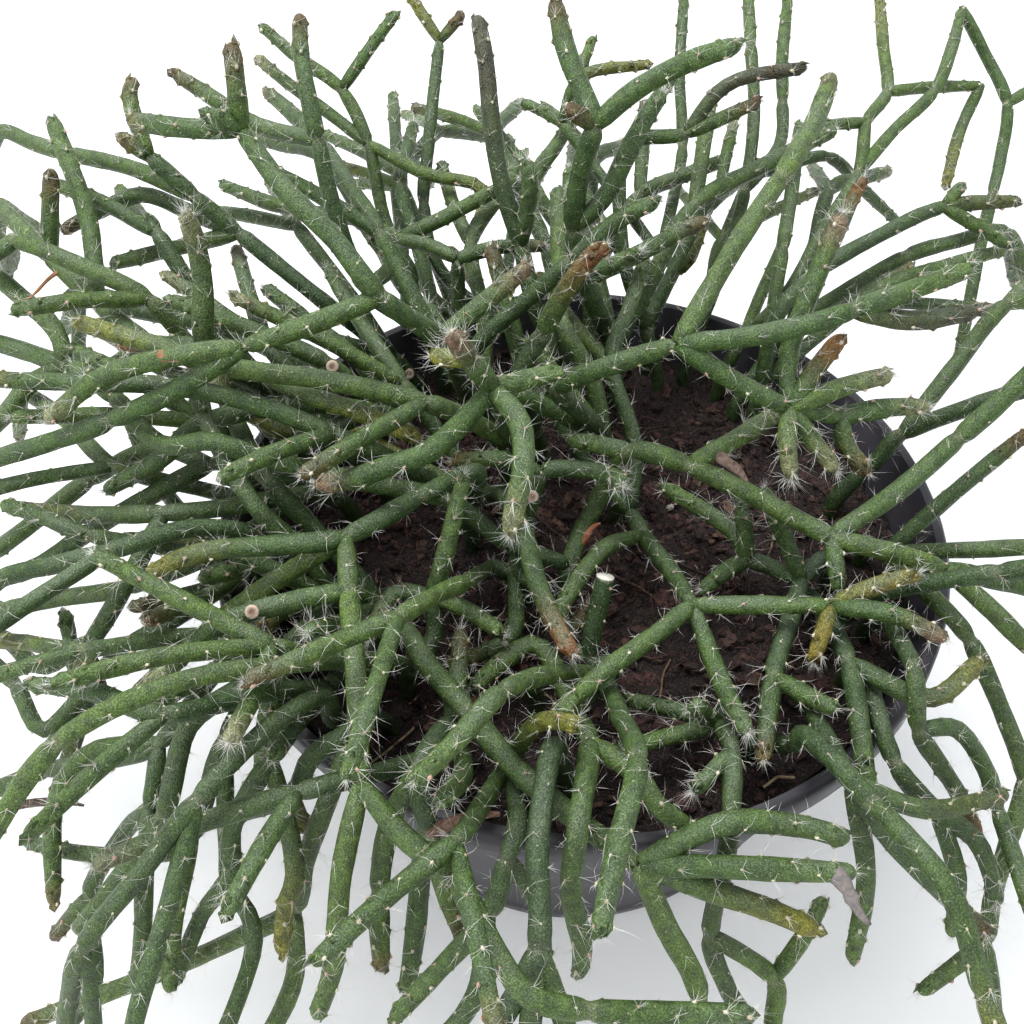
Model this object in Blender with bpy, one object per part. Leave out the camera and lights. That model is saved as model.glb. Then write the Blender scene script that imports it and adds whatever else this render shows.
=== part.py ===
# Mistletoe cactus in a round plastic nursery pot.
# Metres, +Z up. The origin is the middle of the pot's underside.

import math
import random

import bmesh
import bpy
import numpy as np
from mathutils import Vector

# Pot
POT_RIM_RADIUS = 0.085
POT_BASE_RADIUS = 0.057
POT_HEIGHT = 0.092
POT_WALL = 0.0014
POT_FLOOR = 0.002
LIP_HEIGHT = 0.007
LIP_OUT = 0.0018
POT_SIDES = 26
DRAIN_HOLES = 6
DRAIN_HOLE_RADIUS = 0.004
DRAIN_HOLE_SIDES = 8
DRAIN_RING_RADIUS = 0.038

# Growing medium
SOIL_TOP = 0.079
SOIL_RELIEF = 0.0022
SOIL_EDGE_DIP = 0.001
SOIL_RINGS = 2
SOIL_SIDES = 16
ROOT_SPACING = 0.0085  # shoots stand at least this far apart
NUDGE = 0.00006  # keeps two shoots traced to one place from standing exactly there
ROOT_HOLE_DEPTH = 0.013
ROOT_HOLE_SIDES = 4
ROOT_HOLE_EXTRA = 0.012
WALL_CLEARANCE = 0.009
FOOT_HEIGHT = 0.003  # above the soil, where a shoot's held foot ends

# Stems
STEM_RADIUS = 0.0024
MAIN_SIDES = 4
FINE_SIDES = 3
THIN_SHOOT = 1.01  # shoots up to this thickness get the fewer sides
FLAT_TO_ROUND = {4: 1.13, 3: 1.2}  # a stem of so few sides is drawn wider, to look as wide as the round one
JOINT_NARROWING = 0.84
SPAN_LENGTH = 0.017  # stems bend at points about this far apart
FINE_SPAN_LENGTH = 0.021
LONGEST_SEGMENT = 0.056
TIP_NARROWING = 0.72
STRAIGHT_WITHIN = 0.001  # a point that lies this close to a straight stem needs no bend
SUNK = 0.0006  # a stem starts this far inside the one it grows from
GAP = 0.0003
STEM_CLEARANCE = 0.0008
RIM_REACH = 0.010  # how far inside and outside the rim a stem that passes over it is kept high
FLOOR_CLEARANCE = 0.004

# Stems that the photograph shows only as a tangle: they follow a growth rule
SEED = 34
GROWN_SHOOTS = 10
GROWN_STEMS = 9
GROWN_RING = 0.066
GROWN_LENGTHS = (0.026, 0.046)
THINNEST = 0.72
LOW_STEMS = 4
LOW_LIFT = -18  # degrees by which low stems rise less
LOW_TOP = 0.110
MOUND_TOP = 0.150
REACH = 0.146  # a stem that ends further than this from the pot's axis grows no more
LOWEST_END = 0.022
RISE_AT_AXIS = 62
RISE_AT_EDGE = -66
HANG_FROM = 0.045  # stems start to lean over this far from the axis, and hang after HANG_OVER more
HANG_OVER = 0.12
LIFT_SPREAD = 14
FAN = (0.7, 1.24)  # radians between stems that leave one joint
TURN_OUTWARDS = 0.35
DROOP = 0.22

# How the stems are eased apart
EASE_STEPS = 150
SETTLE_STEPS = 60
SHARED_MOVE = 0.5
TRACED_GIVE = 0.2  # a stem that the photograph shows gives way this much, beside 1 for a grown one

# The photograph's viewpoint, which turns its pixels and a height into a place
VIEW_FROM = Vector((0.0, -0.205, 0.319))
VIEW_TOWARDS = Vector((-0.0162, 0.0, 0.0925))
VIEW_FOCAL_PX = 1300
VIEW_SIDE_PX = 1024

# Shoots that the photograph shows. Each joint is (pixel across, pixel down, height in mm), and each
# stem is a run of joints from its base. "root" is where the shoot stands in the soil.
# thick is the shoot's stem radius as a share of STEM_RADIUS, and more says how many further
# stems grow from a joint whose end the photograph's edge cuts off.
SHOOTS = {
    "shoot_01": dict(
        root=(500, 455), thick=1.0,
        joints=dict(
            k=(450, 338, 137), a=(390, 298, 152), b=(340, 238, 162), c=(290, 190, 169), d=(245, 130, 175),
            d1=(240, 88, 183), d2=(235, 42, 190), e1=(208, 112, 181), g1=(186, 128, 175), g2=(132, 121, 172),
            h1=(320, 328, 149), h=(255, 353, 145), i1=(189, 371, 141), i2=(120, 390, 135), i3=(64, 433, 125),
            j1=(189, 391, 136), j2=(122, 423, 127), j3=(60, 446, 118), j4=(0, 470, 108),
            s1=(500, 298, 143), s2=(541, 264, 149),
        ),
        stems=("root k a b c d", "d d1 d2", "d e1", "d g1 g2", "a h1 h", "h i1 i2 i3", "h j1 j2 j3 j4",
               "k s1 s2"),
        more=dict(j4=1),
    ),
    "shoot_02": dict(
        root=(500, 520), thick=1.05,
        joints=dict(
            b=(490, 402, 139), m1=(468, 372, 148), m2=(449, 344, 158), n1=(525, 392, 140),
            n2=(562, 383, 141),
            o1=(457, 437, 136), o2=(425, 462, 134), o3=(385, 474, 131), o4=(350, 486, 127),
            o5=(314, 490, 124),
            p1=(516, 430, 140), p2=(523, 470, 139), p3=(514, 518, 134), p4=(508, 545, 130),
            r2=(428, 368, 147),
        ),
        stems=("root b m1 m2", "b n1 n2", "b o1 o2 o3 o4 o5", "b p1 p2 p3 p4", "m1 r2"),
    ),
    "shoot_03": dict(
        root=(470, 420), thick=0.88,
        joints=dict(
            t=(456, 262, 126), u1=(425, 250, 126), u2=(392, 245, 124), u3=(350, 225, 121),
            v1=(500, 250, 126), v2=(545, 249, 124), u4=(280, 214, 120), u5=(215, 190, 119),
            w1=(430, 228, 128), w2=(470, 207, 131), w3=(512, 186, 134),
        ),
        stems=("root t", "t u1 u2 u3 u4 u5", "t v1 v2", "u2 w1 w2 w3"),
    ),
    "shoot_04": dict(
        root=(480, 430), thick=0.95,
        joints=dict(
            a=(470, 352, 114), b=(520, 303, 126), c=(568, 262, 137), d=(615, 222, 147), e=(656, 202, 153),
            g=(600, 266, 139), h=(636, 250, 144),
        ),
        stems=("root a b c d e", "c g h"),
    ),
    "shoot_05": dict(
        root=(540, 470), thick=1.05,
        joints=dict(
            a=(520, 385, 117), b=(545, 330, 130), c=(570, 284, 142), d=(592, 255, 150), e=(608, 242, 153),
        ),
        stems=("root a b c d e",),
    ),
    "shoot_06": dict(
        root=(620, 500), thick=1.0,
        joints=dict(
            a=(560, 393, 128), b=(620, 366, 139), j=(677, 345, 146),
            c1=(710, 290, 152), c2=(740, 240, 157), c3=(780, 180, 163), c4=(812, 128, 167),
            c5=(831, 77, 170),
            d1=(740, 340, 146), d2=(800, 328, 147), d3=(845, 315, 148), d4=(905, 298, 148),
            d5=(962, 278, 148),
            e1=(905, 322, 143), e2=(970, 313, 141),
            f1=(720, 368, 142), f2=(764, 386, 139), k=(797, 393, 137),
            g1=(802, 345, 143), g2=(816, 305, 151), g3=(836, 255, 159), g4=(857, 205, 165),
            h1=(852, 393, 134), h2=(900, 388, 134), h3=(938, 388, 133), i1=(845, 375, 138),
            i2=(895, 363, 139),
            l1=(796, 430, 133), l2=(800, 466, 127), m1=(820, 430, 130), m2=(844, 460, 125),
            n1=(855, 425, 128), n2=(881, 459, 123), q1=(832, 360, 141), q2=(855, 331, 146),
        ),
        stems=("root a b j", "j c1 c2 c3 c4 c5", "j d1 d2 d3 d4 d5", "d3 e1 e2", "j f1 f2 k",
               "k g1 g2 g3 g4", "k h1 h2 h3", "k i1 i2", "k l1 l2", "k m1 m2", "h1 n1 n2", "k q1 q2"),
    ),
    "shoot_07": dict(
        root=(556, 606), thick=1.0,
        joints=dict(
            za=(574, 540, 92), zb=(600, 485, 104),
            a=(563, 440, 113), b=(622, 452, 117), c=(679, 466, 118), x=(745, 497, 115), d=(817, 535, 112),
            y=(880, 562, 107), e=(932, 583, 102), c1=(735, 435, 122), c2=(783, 404, 125),
            z=(880, 482, 118), f=(946, 430, 126), f1=(985, 400, 132), f2=(1024, 367, 139),
            f3=(1055, 345, 143),
            g=(826, 590, 106), e1=(978, 600, 97), e2=(1030, 612, 92), e3=(985, 620, 95), e4=(1030, 660, 87),
        ),
        stems=("root za zb b c x d y e", "b a", "c c1 c2", "d z f f1 f2 f3", "d g", "e e1 e2", "e e3 e4"),
        more=dict(e2=1, e4=2, f3=1),
    ),
    "shoot_08": dict(
        root=(615, 515), thick=0.92,
        joints=dict(
            a=(640, 545, 88), b=(665, 585, 94), h=(685, 627, 98), i1=(640, 662, 99), i2=(590, 697, 99),
            i3=(540, 747, 97), j1=(750, 630, 99), g=(821, 634, 99), k1=(862, 612, 101), k2=(905, 598, 103),
            l1=(822, 662, 96), l2=(820, 690, 92), m1=(870, 662, 97), m2=(918, 692, 94),
            n1=(702, 675, 93), n2=(722, 728, 91), n3=(743, 768, 94),
            o1=(607, 563, 93), o2=(577, 612, 95), o3=(561, 645, 94),
        ),
        stems=("root a b h", "a o1 o2 o3", "h i1 i2 i3", "h j1 g", "g k1 k2", "g l1 l2", "g m1 m2", "h n1 n2 n3"),
    ),
    "shoot_09": dict(
        root=(480, 520), thick=0.95,
        joints=dict(
            z=(490, 510, 100), a=(505, 548, 106), b=(518, 600, 108), c=(535, 645, 108), d=(552, 678, 107),
        ),
        stems=("root z a b c d",),
    ),
    "shoot_10": dict(
        root=(528, 600), thick=0.9,
        joints=dict(
            z=(536, 580, 88), a=(545, 530, 97), b=(561, 477, 111), c=(602, 472, 112), d=(632, 478, 116),
            e=(640, 486, 121), f=(520, 462, 113), g=(470, 470, 112),
            h=(553, 594, 90), i=(562, 609, 89), j=(545, 630, 87), k=(515, 652, 87), l=(470, 665, 90),
        ),
        stems=("root z a b c d e", "b f g", "z h i", "z j k l"),
    ),
    "shoot_11": dict(
        root=(405, 690), thick=0.9,
        joints=dict(
            a=(425, 640, 92), x=(433, 612, 97), b=(442, 580, 104), c=(462, 490, 119),
            d=(470, 627, 95), e=(503, 650, 93), f=(400, 625, 92), g=(372, 672, 90),
        ),
        stems=("root a x b c", "x d e", "x f g"),
    ),
    "shoot_12": dict(
        root=(470, 540), thick=0.98,
        joints=dict(
            a=(485, 472, 117), b=(430, 502, 117), p=(357, 546, 117), c=(300, 549, 117), d=(245, 550, 114),
            e=(205, 560, 110), f=(168, 577, 105), g=(358, 610, 112), h=(362, 700, 107), q=(374, 782, 101),
            i=(420, 830, 102), j=(472, 873, 104), k=(510, 940, 103), l=(545, 985, 101), m=(600, 999, 99),
            n=(680, 1003, 97), o=(762, 1002, 95), s=(357, 870, 88), t=(350, 957, 71), u=(332, 1012, 60),
            r1=(270, 598, 104), r2=(204, 629, 97), r3=(128, 693, 87),
            v=(310, 628, 109), w=(238, 655, 104), x=(165, 722, 96),
        ),
        stems=("root a b p c d e f", "p g h q", "q i j k l m n o", "q s t u", "p r1 r2 r3", "g v w x"),
    ),
    "shoot_13": dict(
        root=(395, 610), thick=1.05,
        joints=dict(
            a=(424, 697, 97), b=(470, 732, 99), c=(519, 770, 100), d=(575, 818, 99), r=(628, 864, 97),
            e=(700, 858, 96), f=(770, 860, 94), g=(838, 862, 92), h=(705, 832, 96), i=(775, 836, 93),
            j=(832, 851, 89),
            k=(700, 885, 90), l=(760, 905, 86), m=(812, 928, 82), n=(655, 925, 84), o=(690, 1000, 72),
        ),
        stems=("root a b c d r", "r e f g", "r h i j", "r k l m", "r n o"),
        more=dict(o=1),
    ),
    "shoot_14": dict(
        root=(345, 600), thick=1.0,
        joints=dict(
            a=(290, 650, 97), b=(252, 690, 95), c=(224, 743, 88), d=(194, 822, 76), e=(150, 885, 66),
            f=(112, 932, 58), g=(273, 730, 88), h=(270, 790, 77),
        ),
        stems=("root a b c d e f", "a g h"),
    ),
    "shoot_15": dict(
        root=(350, 520), thick=0.95,
        joints=dict(
            a=(311, 492, 106), b=(240, 508, 107), c=(176, 519, 105), d=(95, 518, 101), e=(18, 510, 96),
            f=(143, 590, 98), g=(104, 655, 88), h=(95, 682, 83), i=(120, 702, 80),
        ),
        stems=("root a b c d e", "c f g", "g h", "g i"),
    ),
    "shoot_16": dict(
        root=(430, 480), thick=0.98,
        joints=dict(
            a=(375, 415, 112), b=(320, 432, 114), c=(260, 446, 113), s=(200, 463, 108), d=(150, 490, 102),
            e=(95, 530, 95), f=(40, 570, 87), g=(140, 455, 108), h=(70, 480, 103), i=(10, 530, 93),
            t=(319, 408, 120), u=(255, 424, 119), v=(196, 441, 115), w=(160, 470, 112), x=(102, 504, 104),
        ),
        stems=("root a b c s d e f", "s g h i", "a t u v w x"),
        more=dict(f=1, i=1),
    ),
    "shoot_17": dict(
        root=(385, 420), thick=1.05,
        joints=dict(
            a=(255, 385, 112), b=(150, 345, 122), c=(100, 303, 125), d=(52, 258, 127), e=(0, 207, 126),
            f=(52, 215, 136), g=(53, 170, 145), h=(110, 375, 116), i=(70, 373, 114), j=(30, 358, 112),
            k=(-10, 346, 109), l=(60, 338, 119), m=(30, 308, 121), n=(-5, 283, 121), o=(38, 398, 109),
            p=(18, 430, 104), q=(97, 212, 133), r=(63, 122, 146),
        ),
        stems=("root a b c d e", "d f g", "b h i j k", "i l m n", "i o p", "c q r"),
        more=dict(e=2, k=2, n=1, p=1),
    ),
    "shoot_18": dict(
        root=(430, 400), thick=0.95,
        joints=dict(
            a=(320, 300, 116), b=(240, 238, 129), u=(195, 200, 138), c=(150, 160, 147), d=(118, 138, 152),
            e=(135, 172, 137), f=(70, 156, 134), g=(0, 134, 130), h=(145, 207, 129), i=(100, 223, 125),
            j=(62, 243, 121), k=(170, 247, 124), l=(107, 262, 119), m=(131, 106, 157), n=(134, 80, 161),
        ),
        stems=("root a b u c d", "u e f g", "b h i j", "b k l", "c m n"),
        more=dict(g=1),
    ),
    "shoot_19": dict(
        root=(455, 400), thick=0.92,
        joints=dict(
            a=(370, 290, 122), b=(340, 215, 141), c=(322, 140, 156), d=(312, 95, 164), e=(305, 55, 170),
            f=(303, 14, 175), g=(398, 262, 120), h=(381, 232, 127), i=(366, 207, 132),
            j=(262, 125, 152), k=(205, 90, 156), l=(176, 72, 158),
        ),
        stems=("root a b c d e f", "a g h i", "c j k l"),
    ),
    "shoot_20": dict(
        root=(475, 370), thick=0.78,
        joints=dict(
            a=(410, 270, 108), b=(386, 220, 117), v=(370, 150, 131), w=(343, 95, 141), c=(300, 63, 146),
            d=(262, 30, 151), e=(368, 58, 148), f=(398, 17, 154), g=(335, 122, 135), h=(285, 85, 139),
            i=(258, 62, 141), j=(425, 183, 126), k=(480, 198, 124), l=(470, 248, 113),
        ),
        stems=("root a b v w c d", "w e f", "v g h i", "v j k l"),
    ),
    "shoot_21": dict(
        root=(520, 370), thick=0.78,
        joints=dict(
            a=(440, 270, 108), b=(425, 205, 119), c=(430, 150, 129), d=(435, 95, 138), x=(441, 42, 147),
            e=(425, 18, 151), f=(410, -6, 155), g=(465, 14, 152),
        ),
        stems=("root a b c d x", "x e f", "x g"),
    ),
    "shoot_22": dict(
        root=(580, 420), thick=0.98,
        joints=dict(
            a=(545, 320, 116), b=(530, 245, 131), c=(515, 175, 146), d=(506, 120, 156), e=(500, 60, 166),
            f=(491, 12, 173), g=(533, 200, 142), h=(533, 160, 151),
        ),
        stems=("root a b c d e f", "b g h"),
    ),
    "shoot_23": dict(
        root=(610, 400), thick=1.05,
        joints=dict(
            a=(590, 300, 124), b=(574, 228, 142), c=(588, 165, 157), y=(600, 120, 167), d=(590, 92, 171),
            e=(572, 48, 177), f=(560, -4, 183), g=(640, 85, 174), h=(690, 58, 181), i=(746, 38, 188),
            j=(572, 98, 173), k=(600, 195, 150), l=(620, 155, 158), m=(641, 115, 165), n=(657, 92, 169),
        ),
        stems=("root a b c y d e f", "y g h i", "y j", "b k l m n"),
    ),
    "shoot_24": dict(
        root=(650, 390), thick=0.82,
        joints=dict(
            a=(628, 260, 118), b=(630, 158, 138), c=(690, 145, 142), d=(765, 110, 149), e=(735, 100, 151),
            f=(812, 85, 155), g=(652, 120, 147), h=(680, 82, 154),
        ),
        stems=("root a b c d", "c e f", "b g h"),
    ),
    "shoot_25": dict(
        root=(690, 360), thick=0.8,
        joints=dict(
            a=(720, 270, 106), b=(740, 195, 117), c=(748, 120, 128), d=(745, 50, 139), e=(742, -8, 147),
            f=(775, 150, 122), g=(779, 60, 137), h=(785, 0, 146),
        ),
        stems=("root a b c d e", "b f g h"),
    ),
    "shoot_26": dict(
        root=(650, 345), thick=0.75,
        joints=dict(
            a=(660, 260, 106), b=(682, 150, 120), c=(679, 80, 131), d=(684, -4, 143), e=(600, 180, 118),
            f=(560, 128, 126), g=(520, 105, 129), h=(592, 40, 140), i=(580, 80, 138), j=(648, 68, 140),
            k=(684, 270, 108), l=(706, 216, 116),
        ),
        stems=("root a b c d", "a e f g", "f h", "f i j", "a k l"),
    ),
    "shoot_27": dict(
        root=(745, 370), thick=0.8,
        joints=dict(
            a=(790, 300, 108), b=(822, 240, 117), z=(858, 178, 123), c=(868, 125, 129), y=(890, 92, 132),
            d=(886, 45, 138), e=(882, -5, 143), f=(935, 86, 130), g=(985, 84, 127), h=(893, 135, 126),
            i=(930, 98, 130), j=(947, 55, 135), k=(958, 14, 140), l=(980, 55, 131), m=(1004, 106, 121),
            n=(998, 160, 112), o=(980, 240, 100), p=(955, 370, 80), q=(1035, 92, 121), r=(822, 128, 131),
            s=(964, 130, 121), t=(950, 185, 115),
        ),
        stems=("root a b z c y d e", "y f g", "z h i j k", "k l m n o p", "m q", "c r", "g s t"),
        more=dict(q=1),
    ),
    "shoot_28": dict(
        root=(740, 430), thick=0.88,
        joints=dict(
            a=(775, 320, 112), b=(820, 272, 119), c=(880, 237, 123), q=(941, 210, 124), d=(1018, 204, 124),
            e=(961, 186, 128), f=(1008, 250, 116), g=(905, 135, 122), h=(845, 215, 125), i=(862, 180, 131),
        ),
        stems=("root a b c q d", "q e", "q f", "b h i"),
    ),
    "shoot_29": dict(
        root=(240, 420), thick=1.05,
        joints=dict(
            a=(222, 350, 131), b=(217, 292, 143), c=(210, 250, 151), d=(198, 216, 160), e=(180, 356, 126),
            f=(138, 350, 124),
        ),
        stems=("root a b c d", "a e f"),
    ),
    "shoot_30": dict(
        root=(800, 600), thick=0.95,
        joints=dict(
            a=(838, 670, 95), b=(857, 745, 90), c=(868, 795, 83), d=(880, 841, 76), h=(920, 697, 97),
            i=(975, 656, 98),
        ),
        stems=("root a b c d", "a h i"),
    ),
    "shoot_31": dict(
        root=(765, 690), thick=0.9,
        joints=dict(
            a=(830, 790, 93), b=(865, 848, 83), c=(910, 892, 72), d=(960, 937, 60), e=(850, 880, 74),
            f=(836, 965, 55), g=(900, 815, 84), h=(978, 800, 78),
        ),
        stems=("root a b c d", "a e f", "a g h"),
    ),
    "shoot_32": dict(
        root=(380, 500), thick=0.95,
        joints=dict(
            b=(262, 370, 126), c=(300, 396, 129), d=(345, 405, 129), e=(385, 420, 126),
            f=(424, 437, 123),
        ),
        stems=("root b", "b c d e f"),
    ),
    "shoot_33": dict(
        root=(380, 640), thick=0.95,
        joints=dict(
            a=(357, 728, 93), b=(322, 770, 88), c=(288, 807, 80), d=(214, 835, 64), e=(304, 850, 69),
            f=(293, 881, 62), g=(281, 933, 50), h=(168, 988, 32), i=(283, 1003, 38),
        ),
        stems=("root a b c d", "c e", "a f g h", "g i"),
        more=dict(h=1, i=1),
    ),
    "shoot_34": dict(
        root=(270, 560), thick=0.9,
        joints=dict(
            a=(212, 700, 92), b=(170, 750, 84), c=(50, 773, 64), d=(-10, 796, 54), e=(170, 815, 70),
            f=(128, 852, 58), g=(87, 915, 42), h=(92, 1000, 24), i=(50, 957, 30),
            j=(115, 757, 76), k=(85, 805, 66), l=(85, 900, 48), m=(178, 880, 58), n=(166, 985, 36),
        ),
        stems=("root a b c d", "b e f g h", "g i", "b j k l", "e m n"),
        more=dict(d=1, h=1),
    ),
    "shoot_35": dict(
        root=(440, 730), thick=0.98,
        joints=dict(
            a=(405, 795, 97), b=(412, 850, 85), c=(411, 900, 71), d=(402, 955, 59), e=(392, 1015, 47),
            f=(380, 865, 76), g=(372, 930, 61), h=(376, 1005, 46), i=(428, 915, 70), j=(446, 962, 60),
            z=(436, 738, 87), k=(447, 682, 89), l=(451, 640, 93),
        ),
        stems=("root z a b c d e", "a f g h", "b i j", "z k l"),
    ),
    "shoot_36": dict(
        root=(505, 760), thick=0.92,
        joints=dict(
            a=(540, 810, 94), b=(518, 862, 88), c=(497, 912, 79), d=(450, 962, 66), e=(403, 1012, 54),
            f=(546, 905, 74), g=(553, 968, 60), h=(480, 995, 58), i=(440, 1000, 50),
        ),
        stems=("root a b c d e", "b f g", "c h"),
        more=dict(h=1),
    ),
    "shoot_37": dict(
        root=(560, 725), thick=0.98,
        joints=dict(
            a=(573, 767, 93), b=(572, 840, 92), c=(576, 900, 80), d=(585, 955, 67), e=(581, 987, 60),
            f=(640, 795, 93), g=(673, 823, 90), h=(715, 856, 82),
            z=(562, 733, 87), i=(530, 666, 88), j=(492, 682, 88), k=(456, 711, 89),
        ),
        stems=("root z a b c d e", "a f g h", "z i j k"),
    ),
    "shoot_38": dict(
        root=(722, 715), thick=0.88,
        joints=dict(
            a=(734, 765, 91), b=(726, 850, 86), c=(708, 937, 66), d=(727, 990, 55), e=(745, 1028, 46),
            f=(768, 980, 56), g=(766, 1030, 46), h=(798, 938, 61), i=(818, 900, 68), j=(690, 817, 92),
            z=(724, 732, 87), k=(680, 718, 86), l=(632, 707, 86), m=(680, 743, 86), n=(618, 758, 86),
            o=(705, 717, 93), p=(703, 714, 101),
        ),
        stems=("root z a b c d e", "c f g", "f h i", "a j", "z k l", "z m n", "z o p"),
        more=dict(e=1, g=1),
    ),
    "shoot_39": dict(
        root=(865, 640), thick=0.85,
        joints=dict(
            a=(900, 690, 98), b=(912, 720, 92), c=(932, 755, 84), d=(955, 790, 76), e=(976, 834, 66),
            f=(945, 722, 89), g=(967, 765, 79), h=(972, 805, 71),
        ),
        stems=("root a b c d e", "b f g h"),
        more=dict(h=1),
    ),
    "shoot_40": dict(
        root=(850, 560), thick=0.92,
        joints=dict(
            a=(935, 602, 97), b=(966, 652, 89), c=(1000, 722, 77), k=(1021, 785, 67), e=(1005, 850, 59),
            f=(991, 900, 51), g=(983, 943, 45), h=(955, 967, 40), i=(918, 995, 35), j=(991, 1000, 35),
            m=(1060, 800, 62),
        ),
        stems=("root a b c k e f g h i", "g j", "k m"),
        more=dict(j=1, m=1),
    ),
    "shoot_41": dict(
        root=(840, 690), thick=0.9,
        joints=dict(
            a=(880, 790, 86), b=(925, 838, 75), c=(965, 866, 66), d=(986, 925, 52), e=(945, 900, 60),
            f=(940, 960, 46),
        ),
        stems=("root a b c d", "b e f"),
    ),
    "shoot_42": dict(
        root=(300, 545), thick=0.92,
        joints=dict(
            a=(220, 575, 99), b=(130, 589, 92), c=(60, 598, 86), d=(0, 606, 81), e=(95, 640, 78),
            f=(73, 655, 73), g=(64, 612, 77), h=(80, 705, 60), i=(38, 668, 68), j=(5, 640, 70),
        ),
        stems=("root a b c d", "b e f h", "f g", "f i j"),
        more=dict(d=1, h=1, j=1),
    ),
    "shoot_43": dict(
        root=(285, 590), thick=0.88,
        joints=dict(
            a=(200, 640, 93), b=(150, 660, 85), c=(112, 690, 76), d=(88, 745, 65), e=(58, 829, 50),
            f=(60, 740, 66), g=(30, 692, 70), h=(-5, 658, 72),
        ),
        stems=("root a b c d e", "c f g h"),
        more=dict(h=1),
    ),
    "shoot_44": dict(
        root=(305, 660), thick=0.85,
        joints=dict(
            a=(240, 785, 78), b=(195, 866, 61), c=(150, 873, 57), d=(90, 863, 52), e=(34, 852, 48),
            f=(190, 940, 47), g=(187, 1012, 35), h=(232, 897, 56), i=(200, 935, 46), j=(171, 1003, 33),
            k=(262, 950, 46),
        ),
        stems=("root a b c d e", "b f g", "a h i j", "h k"),
        more=dict(k=1),
    ),
    "shoot_45": dict(
        root=(350, 690), thick=0.92,
        joints=dict(
            a=(312, 765, 88), b=(272, 830, 74), c=(269, 870, 66), d=(262, 905, 59), e=(340, 862, 70),
            f=(329, 905, 62), g=(325, 950, 54),
        ),
        stems=("root a b c d", "a e f g"),
    ),
    "shoot_46": dict(
        root=(586, 690), thick=0.95,
        joints=dict(z=(589, 672, 86), a=(602, 592, 103), b=(568, 660, 87), c=(588, 624, 92)),
        stems=("root z a", "z b c"),
    ),
    "shoot_47": dict(root=(525, 712), thick=0.9, joints=dict(a=(518, 686, 88)), stems=("root a",)),
    "shoot_48": dict(
        root=(808, 590), thick=0.95,
        joints=dict(
            z=(803, 608, 86), a=(785, 660, 92), b=(767, 715, 92), c=(753, 797, 90),
            d=(752, 583, 87), e=(706, 612, 87), f=(735, 550, 90), g=(668, 506, 92), h=(747, 524, 102),
            i=(783, 562, 95), j=(762, 515, 106), k=(805, 745, 89), l=(836, 762, 90),
        ),
        stems=("root z a b c", "z d e", "d f g", "d h", "z i j", "b k l"),
    ),
}


def viewpoint():
    """The photograph's viewpoint: forward, right and up."""
    forward = (VIEW_TOWARDS - VIEW_FROM).normalized()
    right = forward.cross(Vector((0, 0, 1))).normalized()
    return forward, right, right.cross(forward)


def place_of(across, down, height):
    """The point at this height that shows at this pixel of the photograph."""
    forward, right, up = viewpoint()
    half = VIEW_SIDE_PX / 2
    ray = forward * VIEW_FOCAL_PX + right * (across - half) + up * (half - down)
    return VIEW_FROM + ray * ((height - VIEW_FROM.z) / ray.z)


def pot_radius(height):
    """The outer radius of the pot's wall at a height."""
    return POT_BASE_RADIUS + (POT_RIM_RADIUS - LIP_OUT - POT_BASE_RADIUS) * height / POT_HEIGHT


def pot_inside(height):
    """The inner radius of the pot's wall at a height."""
    low = POT_BASE_RADIUS - POT_WALL
    high = POT_RIM_RADIUS - LIP_OUT - POT_WALL
    return low + (high - low) * (height - POT_FLOOR) / (POT_HEIGHT - POT_FLOOR)


def soil_height(x, y):
    """The relief of the growing medium."""
    wave = math.sin(x * 190 + 1.3) * math.cos(y * 160 - 0.4) + 0.6 * math.sin((x - y) * 330 + 2.0)
    return SOIL_TOP + SOIL_RELIEF * wave * 0.6


class Skeleton:
    """The centre lines of all the stems: shared points, and stems as runs of points."""

    def __init__(self):
        self.points = []
        self.held = []
        self.give = []
        self.stems = []

    def add_point(self, place, give=1.0, held=False):
        self.points.append(tuple(place))
        self.give.append(give)
        self.held.append(held)
        return len(self.points) - 1

    def add_stem(self, shoot, run, thick, sides):
        radius = STEM_RADIUS * thick * FLAT_TO_ROUND[sides]
        self.stems.append(dict(shoot=shoot, run=run, thick=thick, sides=sides, radius=radius, joints=set()))

    def mark_joints(self):
        """Marks where a stem is jointed: where another grows from it, and partway along a long stretch."""
        starts = {stem["run"][0] for stem in self.stems}
        for stem in self.stems:
            run, since = stem["run"], 0.0
            for i in range(1, len(run)):
                since += math.dist(self.points[run[i - 1]], self.points[run[i]])
                ahead = next((j for j in range(i + 1, len(run)) if run[j] in starts or j == len(run) - 1), i)
                left = sum(math.dist(self.points[run[k]], self.points[run[k + 1]]) for k in range(i, ahead))
                if run[i] in starts or (since > LONGEST_SEGMENT * 0.5 and since + left > LONGEST_SEGMENT):
                    stem["joints"].add(run[i])
                    since = 0.0


def smooth_run(places):
    """Points about SPAN_LENGTH apart on a smooth curve through the given places, and which are given."""
    found, given = [Vector(places[0])], [0]
    for i in range(len(places) - 1):
        a, b = Vector(places[i]), Vector(places[i + 1])
        before = Vector(places[i - 1]) if i else a - (b - a)
        after = Vector(places[i + 2]) if i + 2 < len(places) else b + (b - a)
        count = max(1, round((b - a).length / SPAN_LENGTH))
        for step in range(1, count + 1):
            t = step / count
            found.append(0.5 * (2 * a + (b - before) * t + (2 * before - 5 * a + 4 * b - after) * t ** 2
                                + (3 * a - before - 3 * b + after) * t ** 3))
        given.append(len(found) - 1)
    return found, given


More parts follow.
